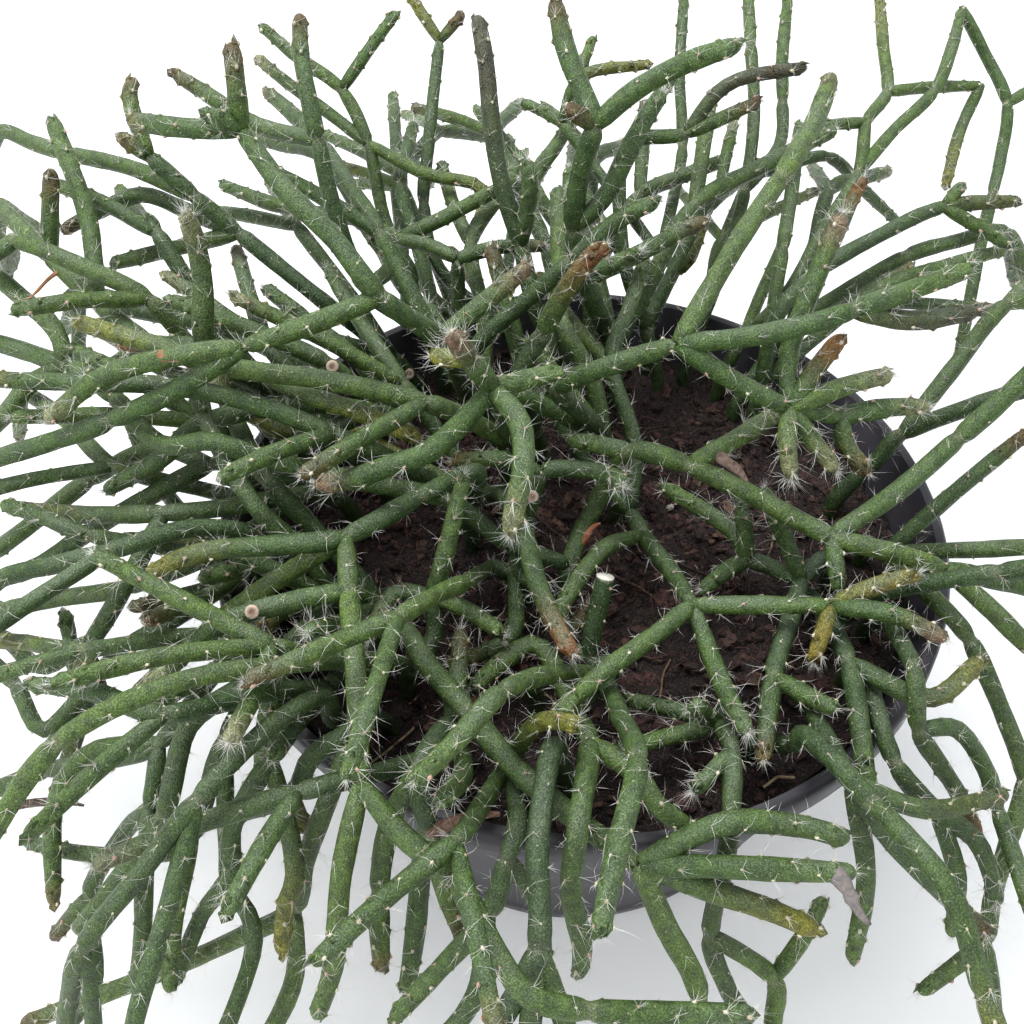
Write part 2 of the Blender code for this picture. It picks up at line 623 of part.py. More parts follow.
def spread_roots():
    """Where every shoot stands: those of the photograph, then those near the wall, kept apart."""
    stands = []
    for spec in SHOOTS.values():
        for stem in spec["stems"]:
            if stem.startswith("root"):
                at = place_of(*spec["root"], SOIL_TOP)
                stands.append([at.x + len(stands) * NUDGE, at.y])
    for number in range(GROWN_SHOOTS):
        around = 2 * math.pi * (number + 0.5) / GROWN_SHOOTS
        stands.append([GROWN_RING * math.cos(around), GROWN_RING * math.sin(around)])
    stands = np.array(stands)
    most = pot_radius(SOIL_TOP) - POT_WALL - WALL_CLEARANCE
    for _ in range(200):
        away = stands[:, None] - stands[None]
        size = np.linalg.norm(away, axis=2) + np.eye(len(stands))
        short = np.maximum(ROOT_SPACING - size, 0) * (1 - np.eye(len(stands)))
        stands = stands + (away / size[:, :, None] * short[:, :, None]).sum(1) * 0.3
        radius = np.linalg.norm(stands, axis=1)
        stands *= np.minimum(most / radius, 1)[:, None]
    return [Vector((x, y, soil_height(x, y))) for x, y in stands]


def trace_shoot(skeleton, name, spec, stands, rng):
    """Adds a shoot that the photograph shows, then the further stems past the photograph's edge."""
    thick = spec["thick"]
    index = {}
    for stem in spec["stems"]:
        names = stem.split()
        traced = [spec["joints"][n] for n in names if n != "root"]
        places = [place_of(across, down, height / 1000) for across, down, height in traced]
        if names[0] == "root":
            stand = stands.pop(0)
            low = stand - Vector((0, 0, ROOT_HOLE_DEPTH - GAP))
            height = places[0].z - stand.z
            rise = stand.lerp(places[0], 0.3)
            rise.z = stand.z + min(max(0.010, 0.45 * height), 0.6 * height)
            curve, given = smooth_run([stand + Vector((0, 0, FOOT_HEIGHT)), rise] + places)
            run = [skeleton.add_point(low, held=True), skeleton.add_point(curve[0], held=True)]
            run += [skeleton.add_point(p, TRACED_GIVE) for p in curve[1:]]
            for n, g in zip(names[1:], given[2:]):
                index[n] = run[g + 1]
        else:
            start = Vector(skeleton.points[index[names[0]]])
            curve, given = smooth_run([start] + places[1:])
            run = [index[names[0]]] + [skeleton.add_point(p, TRACED_GIVE) for p in curve[1:]]
            for n, g in zip(names[1:], given[1:]):
                index[n] = run[g]
        skeleton.add_stem(name, run, thick, MAIN_SIDES if thick > THIN_SHOOT else FINE_SIDES)
        if names[0] == "root" and len(run) > 4:
            low_branches(skeleton, name, run, thick, rng)
    for joint, count in spec.get("more", {}).items():
        grow(skeleton, name, index[joint], heading_at(skeleton, index[joint]), thick, count, rng)


def low_branches(skeleton, name, run, thick, rng):
    """Adds the lower stems of a shoot, which spread outwards where the photograph doesn't show them."""
    start = Vector(skeleton.points[run[2]])
    around = math.atan2(start.y, start.x) + rng.uniform(-0.5, 0.5)
    if start.to_2d().length < 0.02:
        around = rng.uniform(math.radians(90), math.radians(270))
    if math.radians(-75) < around < math.radians(-5):
        return
    heading = Vector((math.cos(around), math.sin(around), 0.9)).normalized()
    grow(skeleton, name, run[2], heading, thick * 0.95, LOW_STEMS, rng, LOW_LIFT, LOW_TOP)


def heading_at(skeleton, point):
    """The direction in which the stem that ends at this point runs."""
    for stem in skeleton.stems:
        if stem["run"][-1] == point:
            a, b = stem["run"][-2:]
            return (Vector(skeleton.points[b]) - Vector(skeleton.points[a])).normalized()
    return Vector((0, 0, 1))


def hang(place, heading, lift, top):
    """The next direction: outwards, rising near the axis and hanging past the rim."""
    radius = math.hypot(place.x, place.y)
    t = min(max((radius - HANG_FROM) / HANG_OVER, 0), 1)
    rise = math.radians(RISE_AT_AXIS + lift + (RISE_AT_EDGE - RISE_AT_AXIS) * t * t * (3 - 2 * t))
    if place.z > top:
        rise = min(rise, math.radians(4))
    if place.z < 1.6 * LOWEST_END:
        rise = max(rise, math.radians(-12))
    outwards = math.atan2(place.y, place.x)
    upright = heading.to_2d().length < 0.2
    around = outwards if upright else math.atan2(heading.y, heading.x)
    turn = (outwards - around + math.pi) % (2 * math.pi) - math.pi
    around += TURN_OUTWARDS * turn
    return around, rise


def grow(skeleton, name, start, heading, thick, stems, rng, lift=0, top=MOUND_TOP):
    """Adds this many stems by the growth rule, each from the end of an earlier one."""
    ends = [(start, heading, thick)]
    while stems > 0 and ends:
        point, heading, thick = ends.pop(0)
        place = Vector(skeleton.points[point])
        before = next((stem for stem in skeleton.stems if stem["run"][-1] == point), None)
        children = rng.choice((1, 2, 2, 3))
        fan = rng.uniform(*FAN)
        for child in range(min(children, stems)):
            around, rise = hang(place, heading, lift + rng.uniform(-LIFT_SPREAD, LIFT_SPREAD), top)
            around += (child - (children - 1) / 2) * fan + rng.uniform(-0.16, 0.16)
            rise += (child % 2) * rng.uniform(-0.3, 0.3)
            level = math.cos(rise)
            aim = Vector((math.cos(around) * level, math.sin(around) * level, math.sin(rise)))
            along = (heading * 0.4 + aim).normalized()
            length = rng.uniform(*GROWN_LENGTHS)
            run = [point]
            at = place.copy()
            count = max(2, round(length / FINE_SPAN_LENGTH))
            for _ in range(count):
                _, rise_here = hang(at, along, lift, top)
                droop = Vector((along.x, along.y, math.sin(rise_here) * 0.8)).normalized()
                along = along.lerp(droop, DROOP).normalized()
                at = at + along * length / count
                run.append(skeleton.add_point(at))
            if before and child == 0:
                before["run"] += run[1:]
            else:
                skeleton.add_stem(name, run, thick, FINE_SIDES)
            stems -= 1
            if at.to_2d().length < REACH and at.z > LOWEST_END:
                ends.append((run[-1], along, max(thick * rng.uniform(0.9, 0.98), THINNEST)))


def grow_shoot(skeleton, name, stand, rng):
    """Adds a whole shoot by the growth rule, rooted near the wall: low in front, higher at the back."""
    around = math.atan2(stand.y, stand.x)
    front = max(0, -math.sin(around))
    lean = Vector((math.cos(around) * 0.6, math.sin(around) * 0.6, 1)).normalized()
    thick = rng.uniform(0.86, 1.0)
    low = skeleton.add_point(stand - Vector((0, 0, ROOT_HOLE_DEPTH - GAP)), held=True)
    foot = skeleton.add_point(stand + Vector((0, 0, FOOT_HEIGHT)), held=True)
    rise = skeleton.add_point(stand + lean * 0.017)
    top = skeleton.add_point(stand + lean * 0.026)
    skeleton.add_stem(name, [low, foot, rise, top], thick, FINE_SIDES)
    grow(skeleton, name, top, lean, thick, GROWN_STEMS, rng, rng.uniform(-16, 4) - 30 * front)


def build_skeleton():
    rng = random.Random(SEED)
    skeleton = Skeleton()
    stands = spread_roots()
    for name, spec in SHOOTS.items():
        trace_shoot(skeleton, name, spec, stands, rng)
    for number, stand in enumerate(stands):
        grow_shoot(skeleton, f"shoot_{len(SHOOTS) + number + 1:02d}", stand, rng)
    skeleton.mark_joints()
    return skeleton


def nearest_on_spans(p, d, q, e):
    """The shares along two spans, p + s d and q + t e, at which they are nearest."""
    a, c, b = (d * d).sum(1) + 1e-12, (e * e).sum(1) + 1e-12, (d * e).sum(1)
    r = p - q
    f, g = (e * r).sum(1), (d * r).sum(1)
    s = np.clip((b * f - c * g) / np.maximum(a * c - b * b, 1e-14), 0, 1)
    t = np.clip((b * s + f) / c, 0, 1)
    s = np.clip((b * t - g) / a, 0, 1)
    return s, t


def over_rim(low, high):
    """Which spans pass over the pot's rim, from inside to outside."""
    near = np.hypot(low[:, 0], low[:, 1])
    far = np.hypot(high[:, 0], high[:, 1])
    return (np.minimum(near, far) < POT_RIM_RADIUS) & (np.maximum(near, far) > POT_RIM_RADIUS - LIP_OUT * 2)


def pot_push(place, radius, crosses):
    """How far each place has to move to be clear of the pot's wall, the soil and the surface below."""
    around = np.hypot(place[:, 0], place[:, 1]) + 1e-9
    low = np.array([POT_BASE_RADIUS - POT_WALL / 2, 0.0])
    high = np.array([POT_RIM_RADIUS - LIP_OUT, POT_HEIGHT - LIP_OUT])
    wall = high - low
    here = np.stack([around, place[:, 2]], 1)
    t = np.clip(((here - low) @ wall) / (wall @ wall), 0, 1)
    away = here - (low + t[:, None] * wall)
    size = np.hypot(away[:, 0], away[:, 1]) + 1e-9
    short = np.maximum(radius + 2 * LIP_OUT + STEM_CLEARANCE - size, 0)
    push = np.zeros_like(place)
    push[:, 0] = away[:, 0] / size * short * place[:, 0] / around
    push[:, 1] = away[:, 0] / size * short * place[:, 1] / around
    push[:, 2] = away[:, 1] / size * short
    at_rim = crosses & (np.abs(around - POT_RIM_RADIUS) < RIM_REACH)
    push[at_rim] = 0
    push[:, 2] += np.where(at_rim, np.maximum(POT_HEIGHT + radius + STEM_CLEARANCE - place[:, 2], 0), 0)
    inside = around < POT_RIM_RADIUS - 2 * LIP_OUT
    over_soil = SOIL_TOP + SOIL_RELIEF + radius + STEM_CLEARANCE
    push[:, 2] += np.where(inside & (place[:, 2] > SOIL_TOP / 2), np.maximum(over_soil - place[:, 2], 0), 0)
    push[:, 2] += np.where(~inside, np.maximum(FLOOR_CLEARANCE + radius - place[:, 2], 0), 0)
    return push


def ease_apart(skeleton):
    """Moves the points until no two stems touch, and returns how many places still do."""
    start = np.array(skeleton.points)
    held = np.array(skeleton.held)
    spans, radii = [], []
    for stem in skeleton.stems:
        for a, b in zip(stem["run"], stem["run"][1:]):
            spans.append((a, b))
            radii.append(stem["radius"])
    spans, radii = np.array(spans), np.array(radii)
    below = held[spans[:, 0]] & held[spans[:, 1]]
    give = np.array(skeleton.give)[spans].mean(1)
    degree = np.bincount(spans.ravel(), minlength=len(start)).astype(float)
    first, second = np.triu_indices(len(spans), 1)
    shared = ((spans[first][:, :, None] == spans[second][:, None, :]).any((1, 2)))
    first, second = first[~shared], second[~shared]
    place, left = start.copy(), 0
    for step in range(EASE_STEPS + SETTLE_STEPS):
        settle = step >= EASE_STEPS
        if step % 6 == 0:
            middle = place[spans].mean(1)
            half = np.linalg.norm(place[spans[:, 1]] - place[spans[:, 0]], axis=1) / 2
            gap = np.abs(middle[first] - middle[second])
            reach = half[first] + half[second] + 0.012
            near = (gap < reach[:, None]).all(1)
            one, two = first[near], second[near]
        p, q = place[spans[one, 0]], place[spans[two, 0]]
        d, e = place[spans[one, 1]] - p, place[spans[two, 1]] - q
        s, t = nearest_on_spans(p, d, q, e)
        away = p + s[:, None] * d - q - t[:, None] * e
        size = np.linalg.norm(away, axis=1)
        need = radii[one] + radii[two] + STEM_CLEARANCE
        close = size < need
        left = int((size < need - 0.0003).sum())
        push = np.zeros_like(place)
        many = np.zeros(len(place))
        unit = away[close] / np.maximum(size[close], 1e-6)[:, None]
        amount = (need[close] - size[close])[:, None] * unit * 1.1
        one_gives = give[one[close]]
        two_gives = give[two[close]]
        part_one = (one_gives / (one_gives + two_gives))[:, None]
        for ends, share, amount_here in (
            (spans[one[close]], s[close], amount * part_one),
            (spans[two[close]], t[close], amount * (part_one - 1)),
        ):
            weight = (1 - share) ** 2 + share ** 2
            for column, part in ((0, 1 - share), (1, share)):
                np.add.at(push, ends[:, column], amount_here * (part / weight)[:, None])
                np.add.at(many, ends[:, column], (part > 0.2) * 1.0)
        place = place + push / np.maximum(many, 1)[:, None] * 1.2
        crosses = over_rim(place[spans[:, 0]], place[spans[:, 1]])
        for share in (0.0, 0.17, 0.33, 0.5, 0.67, 0.83, 1.0):
            at = place[spans[:, 0]] * (1 - share) + place[spans[:, 1]] * share
            clear = pot_push(at, radii, crosses)
            clear[below] = 0
            weight = (1 - share) ** 2 + share ** 2
            np.add.at(place, spans[:, 0], clear * (0.5 * (1 - share) / weight))
            np.add.at(place, spans[:, 1], clear * (0.5 * share / weight))
        moved = place - start
        if not settle:
            shared_move = np.zeros_like(moved)
            np.add.at(shared_move, spans[:, 0], moved[spans[:, 1]])
            np.add.at(shared_move, spans[:, 1], moved[spans[:, 0]])
            moved += SHARED_MOVE * (shared_move / degree[:, None] - moved) * (1 - step / EASE_STEPS)
        moved[held] = 0
        place = start + moved
    skeleton.points = [tuple(p) for p in place]
    return left


def clear_scene():
    for thing in list(bpy.data.objects):
        bpy.data.objects.remove(thing, do_unlink=True)


def plain_material(name, colour, roughness):
    material = bpy.data.materials.new(name)
    material.use_nodes = True
    shader = material.node_tree.nodes["Principled BSDF"]
    shader.inputs["Base Color"].default_value = (*colour, 1)
    shader.inputs["Roughness"].default_value = roughness
    return material


def add_object(name, form, material, smooth=True):
    mesh = bpy.data.meshes.new(name)
    form.to_mesh(mesh)
    form.free()
    for face in mesh.polygons:
        face.use_smooth = smooth
    thing = bpy.data.objects.new(name, mesh)
    thing.data.materials.append(material)
    bpy.context.scene.collection.objects.link(thing)
    return thing


def tube(points, radii, sides):
    """A closed bmesh tube through the points, with flat ends and no twist."""
    form = bmesh.new()
    points = [Vector(p) for p in points]
    tangents = []
    for i in range(len(points)):
        back = (points[i] - points[i - 1]).normalized() if i else None
        on = (points[i + 1] - points[i]).normalized() if i + 1 < len(points) else None
        tangents.append(((back or on) + (on or back)).normalized())
    across = tangents[0].orthogonal().normalized()
    rings = []
    for centre, along, radius in zip(points, tangents, radii):
        across = (across - along * across.dot(along)).normalized()
        up = along.cross(across)
        rings.append([
            form.verts.new(centre + (across * math.cos(a) + up * math.sin(a)) * radius)
            for a in (2 * math.pi * k / sides for k in range(sides))
        ])
    for low, high in zip(rings, rings[1:]):
        for k in range(sides):
            form.faces.new((low[k], low[(k + 1) % sides], high[(k + 1) % sides], high[k]))
    form.faces.new(rings[0][::-1])
    form.faces.new(rings[-1])
    return form


def bends_of(skeleton, stem):
    """The points of a stem that its shape needs: its ends, its joints, and where it bends."""
    run = stem["run"]
    places = [Vector(skeleton.points[i]) for i in run]
    kept = {0, len(run) - 1} | {k for k, i in enumerate(run) if i in stem["joints"] or skeleton.held[i]}
    spans = sorted(kept)
    spans = list(zip(spans, spans[1:]))
    while spans:
        first, last = spans.pop()
        along = (places[last] - places[first]).normalized()
        off = {k: (places[k] - places[first]).cross(along).length for k in range(first + 1, last)}
        furthest = max(off, key=off.get, default=None)
        if furthest is not None and off[furthest] > STRAIGHT_WITHIN:
            kept.add(furthest)
            spans += [(first, furthest), (furthest, last)]
    return [run[k] for k in sorted(kept)]


def stem_tube(skeleton, stem):
    """One stem of a shoot: round, narrower at each joint and at its tip, sunk into what it grows from."""
    run = bends_of(skeleton, stem)
    points = [Vector(skeleton.points[i]) for i in run]
    wide = stem["radius"]
    radii = [wide * (JOINT_NARROWING if i in stem["joints"] else 1.0) for i in run]
    if not skeleton.held[run[0]]:
        points[0] = points[0] - (points[1] - points[0]).normalized() * SUNK
        radii[0] = wide * JOINT_NARROWING * 0.9
    radii[-1] = wide * TIP_NARROWING
    return tube(points, radii, stem["sides"])


def join_by_union(base, others):
    """Fuses the other objects into the base with one Boolean union, then removes them."""
    if not others:
        return
    group = bpy.data.collections.new(base.name + "_stems")
    for thing in others:
        bpy.context.scene.collection.objects.unlink(thing)
        group.objects.link(thing)
    bpy.context.scene.collection.children.link(group)
    union = base.modifiers.new("join", "BOOLEAN")
    union.operation = "UNION"
    union.solver = "EXACT"
    union.operand_type = "COLLECTION"
    union.collection = group
    apply_modifiers(base)
    for thing in others:
        bpy.data.objects.remove(thing, do_unlink=True)
    bpy.data.collections.remove(group)


def apply_modifiers(thing):
    graph = bpy.context.evaluated_depsgraph_get()
    made = bpy.data.meshes.new_from_object(thing.evaluated_get(graph))
    thing.modifiers.clear()
    thing.data = made


def make_shoots(skeleton, material):
    for name in sorted({stem["shoot"] for stem in skeleton.stems}):
        stems = [stem for stem in skeleton.stems if stem["shoot"] == name]
        made = [
            add_object(name if i == 0 else f"{name}_stem_{i}", stem_tube(skeleton, stem), material)
            for i, stem in enumerate(stems)
        ]
        join_by_union(made[0], made[1:])


def make_pot(material):
    """A turned pot: flat base, tapering wall, lip round the rim, open at the top."""
    inner = POT_RIM_RADIUS - LIP_OUT - POT_WALL
    lip_low = POT_HEIGHT - LIP_HEIGHT
    profile = (
        (POT_BASE_RADIUS - 0.002, 0), (POT_BASE_RADIUS, 0.002), (pot_radius(lip_low), lip_low),
        (POT_RIM_RADIUS, lip_low + 0.0008), (POT_RIM_RADIUS, POT_HEIGHT - 0.0010),
        (POT_RIM_RADIUS - 0.0010, POT_HEIGHT), (inner, POT_HEIGHT),
        (POT_BASE_RADIUS - POT_WALL, POT_FLOOR),
    )
    form = bmesh.new()
    rings = []
    for radius, height in profile:
        ring = bmesh.ops.create_circle(form, cap_ends=False, segments=POT_SIDES, radius=radius)["verts"]
        bmesh.ops.translate(form, verts=ring, vec=(0, 0, height))
        rings.append(ring)
    for low, high in zip(rings, rings[1:]):
        for k in range(POT_SIDES):
            form.faces.new((low[k], low[(k + 1) % POT_SIDES], high[(k + 1) % POT_SIDES], high[k]))
    form.faces.new(rings[0])
    form.faces.new(rings[-1])
    bmesh.ops.recalc_face_normals(form, faces=form.faces)
    pot = add_object("pot", form, material)
    cutters = []
    for number in range(DRAIN_HOLES):
        around = 2 * math.pi * number / DRAIN_HOLES
        cutter = bmesh.new()
        bmesh.ops.create_cone(cutter, cap_ends=True, segments=DRAIN_HOLE_SIDES, radius1=DRAIN_HOLE_RADIUS,
                              radius2=DRAIN_HOLE_RADIUS, depth=POT_FLOOR * 4)
        bmesh.ops.translate(cutter, verts=cutter.verts, vec=(
            DRAIN_RING_RADIUS * math.cos(around), DRAIN_RING_RADIUS * math.sin(around), 0))
        cutters.append(add_object(f"drain_hole_{number}", cutter, material))
    cut_away(pot, cutters)
    return pot


def cut_away(base, cutters):
    """Cuts the cutters out of the base, then removes them."""
    group = bpy.data.collections.new(base.name + "_holes")
    for thing in cutters:
        bpy.context.scene.collection.objects.unlink(thing)
        group.objects.link(thing)
    bpy.context.scene.collection.children.link(group)
    cut = base.modifiers.new("holes", "BOOLEAN")
    cut.operation = "DIFFERENCE"
    cut.solver = "EXACT"
    cut.operand_type = "COLLECTION"
    cut.collection = group
    apply_modifiers(base)
    for thing in cutters:
        bpy.data.objects.remove(thing, do_unlink=True)
    bpy.data.collections.remove(group)


def make_soil(skeleton, material):
    """The growing medium: fills the pot, uneven on top, with a plain hole for each shoot."""
    form = bmesh.new()
    floor = POT_FLOOR + GAP
    wall_low = pot_inside(floor) * math.cos(math.pi / POT_SIDES) - GAP
    wall_top = pot_inside(SOIL_TOP - SOIL_EDGE_DIP) * math.cos(math.pi / POT_SIDES) - GAP
    angles = [2 * math.pi * k / SOIL_SIDES for k in range(SOIL_SIDES)]
    rings = [[form.verts.new((wall_low * math.cos(a), wall_low * math.sin(a), floor)) for a in angles]]
    for ring in range(SOIL_RINGS, 0, -1):
        radius = wall_top * ring / SOIL_RINGS
        edge = ring < SOIL_RINGS
        rings.append([form.verts.new((
            radius * math.cos(a), radius * math.sin(a),
            soil_height(radius * math.cos(a), radius * math.sin(a)) if edge else SOIL_TOP - SOIL_EDGE_DIP,
        )) for a in angles])
    for low, high in zip(rings, rings[1:]):
        for k in range(SOIL_SIDES):
            form.faces.new((low[k], low[(k + 1) % SOIL_SIDES], high[(k + 1) % SOIL_SIDES], high[k]))
    form.faces.new(rings[0][::-1])
    centre = form.verts.new((0, 0, soil_height(0, 0)))
    for k in range(SOIL_SIDES):
        form.faces.new((rings[-1][k], rings[-1][(k + 1) % SOIL_SIDES], centre))
    bmesh.ops.recalc_face_normals(form, faces=form.faces)
    soil = add_object("soil", form, material)
    holes = []
    for stem in skeleton.stems:
        if not skeleton.held[stem["run"][0]]:
            continue
        low = Vector(skeleton.points[stem["run"][0]])
        wide = (stem["radius"] + GAP) / math.cos(math.pi / ROOT_HOLE_SIDES)
        depth = ROOT_HOLE_DEPTH + ROOT_HOLE_EXTRA
        cutter = bmesh.new()
        bmesh.ops.create_cone(cutter, cap_ends=True, segments=ROOT_HOLE_SIDES, radius1=wide, radius2=wide,
                              depth=depth)
        bmesh.ops.translate(cutter, verts=cutter.verts, vec=low + Vector((0, 0, depth / 2 - GAP)))
        holes.append(add_object(f"root_hole_{len(holes)}", cutter, material))
    cut_away(soil, holes)
    return soil


def main():
    clear_scene()
    skeleton = build_skeleton()
    left = ease_apart(skeleton)
    print(len(skeleton.stems), "stems,", len(skeleton.points), "points,", left, "places still too close")
    stem_skin = plain_material("cactus_stem", (0.047, 0.102, 0.035), 0.5)
    dark_plastic = plain_material("dark_plastic", (0.02, 0.018, 0.024), 0.45)
    bark_mix = plain_material("bark_mix", (0.035, 0.018, 0.013), 0.9)
    make_pot(dark_plastic)
    make_soil(skeleton, bark_mix)
    make_shoots(skeleton, stem_skin)
    return skeleton


main()
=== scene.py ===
# Mistletoe cactus in its nursery pot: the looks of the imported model.
# Metres, +Z up; the origin is the middle of the pot's underside.
import math
import random

import bmesh
import bpy
import numpy as np
from mathutils import Matrix, Vector, noise


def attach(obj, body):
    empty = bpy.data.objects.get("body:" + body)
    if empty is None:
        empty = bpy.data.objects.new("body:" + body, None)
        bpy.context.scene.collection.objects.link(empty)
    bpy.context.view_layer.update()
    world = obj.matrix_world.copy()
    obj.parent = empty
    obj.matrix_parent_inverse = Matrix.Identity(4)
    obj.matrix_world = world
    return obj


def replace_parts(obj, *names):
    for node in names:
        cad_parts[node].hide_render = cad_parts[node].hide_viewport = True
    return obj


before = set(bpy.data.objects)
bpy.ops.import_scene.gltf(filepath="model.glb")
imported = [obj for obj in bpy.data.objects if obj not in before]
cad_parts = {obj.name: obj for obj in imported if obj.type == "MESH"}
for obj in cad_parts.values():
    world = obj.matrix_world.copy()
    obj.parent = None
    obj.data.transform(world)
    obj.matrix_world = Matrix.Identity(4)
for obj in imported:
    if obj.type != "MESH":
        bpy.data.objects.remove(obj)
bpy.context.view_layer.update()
noise.seed_set(11)  # noise vectors would differ from run to run without it

potSize = {
    "rimRadius": 0.085,
    "baseRadius": 0.057,
    "height": 0.092,
    "wall": 0.0014,
    "floor": 0.002,
    "lipHeight": 0.007,
    "lipOut": 0.0018,
    "drainHoles": 6,
    "drainHoleRadius": 0.004,
    "drainRingRadius": 0.038,
}

soilSize = {
    "top": 0.079,
    "relief": 0.0022,
    "rootSpacing": 0.0085,  # shoots stand at least this far apart
    "nudge": 0.00006,  # keeps two shoots traced to one place from standing exactly there
    "rootHoleDepth": 0.013,
    "wallClearance": 0.009,
    "footHeight": 0.003,  # above the soil, where a shoot's held foot ends
    "gap": 0.0003,
}

stemSize = {
    "radius": 0.0024,
    "mainSides": 4,
    "fineSides": 3,
    "thinShoot": 1.01,  # shoots up to this thickness get the fewer sides
    "flatToRound": {4: 1.13, 3: 1.2},  # a stem of so few sides is drawn wider, to look as wide as the round one
    "spanLength": 0.017,  # stems bend at points about this far apart
    "fineSpanLength": 0.021,
    "longestSegment": 0.056,
    "clearance": 0.0008,
    "firstLean": 0.3,  # how far towards its first joint a shoot leans where it rises
    "firstRise": (0.010, 0.45, 0.6),  # rises this much at least, or this share of the way, and no more than that
    "rimReach": 0.010,  # how far inside and outside the rim a stem that passes over it is kept high
    "floorClearance": 0.004,
}

growth = {
    "seed": 34,
    "shoots": 10,
    "stems": 9,
    "ring": 0.066,
    "lengths": (0.026, 0.046),
    "thinnest": 0.72,
    "lowStems": 4,
    "lowLift": -18,  # degrees by which low stems rise less
    "lowTop": 0.110,
    "moundTop": 0.150,
    "reach": 0.146,  # a stem that ends further than this from the pot's axis grows no more
    "lowestEnd": 0.022,
    "riseAtAxis": 62,
    "riseAtEdge": -66,
    "hangFrom": 0.045,  # stems start to lean over this far from the axis, and hang after hangOver more
    "hangOver": 0.12,
    "liftSpread": 14,
    "fan": (0.7, 1.24),  # radians between stems that leave one joint
    "turnOutwards": 0.35,
    "droop": 0.22,
    "lowTurn": 0.5,
    "lowFree": 0.02,  # nearer the axis than this, low stems may start any way between the lowBack degrees
    "lowBack": (90, 270),
    "lowOpen": (-75, -5),
    "lowRise": 0.9,
    "lowThick": 0.95,
    "riseOverTop": 4,
    "nearFloor": 1.6,
    "riseNearFloor": -12,
    "aimSpread": 0.16,
    "riseSpread": 0.3,
    "keepsOn": 0.4,  # how far a stem goes on the way its parent went
    "thinner": (0.9, 0.98),
    "lean": 0.6,
    "thick": (0.86, 1.0),
    "firstPoints": (0.017, 0.026),
    "lift": (-16, 4),
    "frontDrop": 30,
}

easing = {
    "rootSteps": 200,
    "rootPush": 0.3,
    "steps": 150,
    "settleSteps": 60,
    "sharedMove": 0.5,
    "tracedGive": 0.2,  # a stem that the photograph shows gives way this much, beside 1 for a grown one
    "lookEvery": 6,  # steps between two searches for spans that are near each other
    "lookReach": 0.012,
    "push": 1.1,
    "step": 1.2,
    "leftShort": 0.0003,
    "samples": (0.0, 0.17, 0.33, 0.5, 0.67, 0.83, 1.0),
}

photoView = {
    "from": Vector((0.0, -0.205, 0.319)),
    "towards": Vector((-0.0162, 0.0, 0.0925)),
    "focalPx": 1300,
    "sidePx": 1024,
}

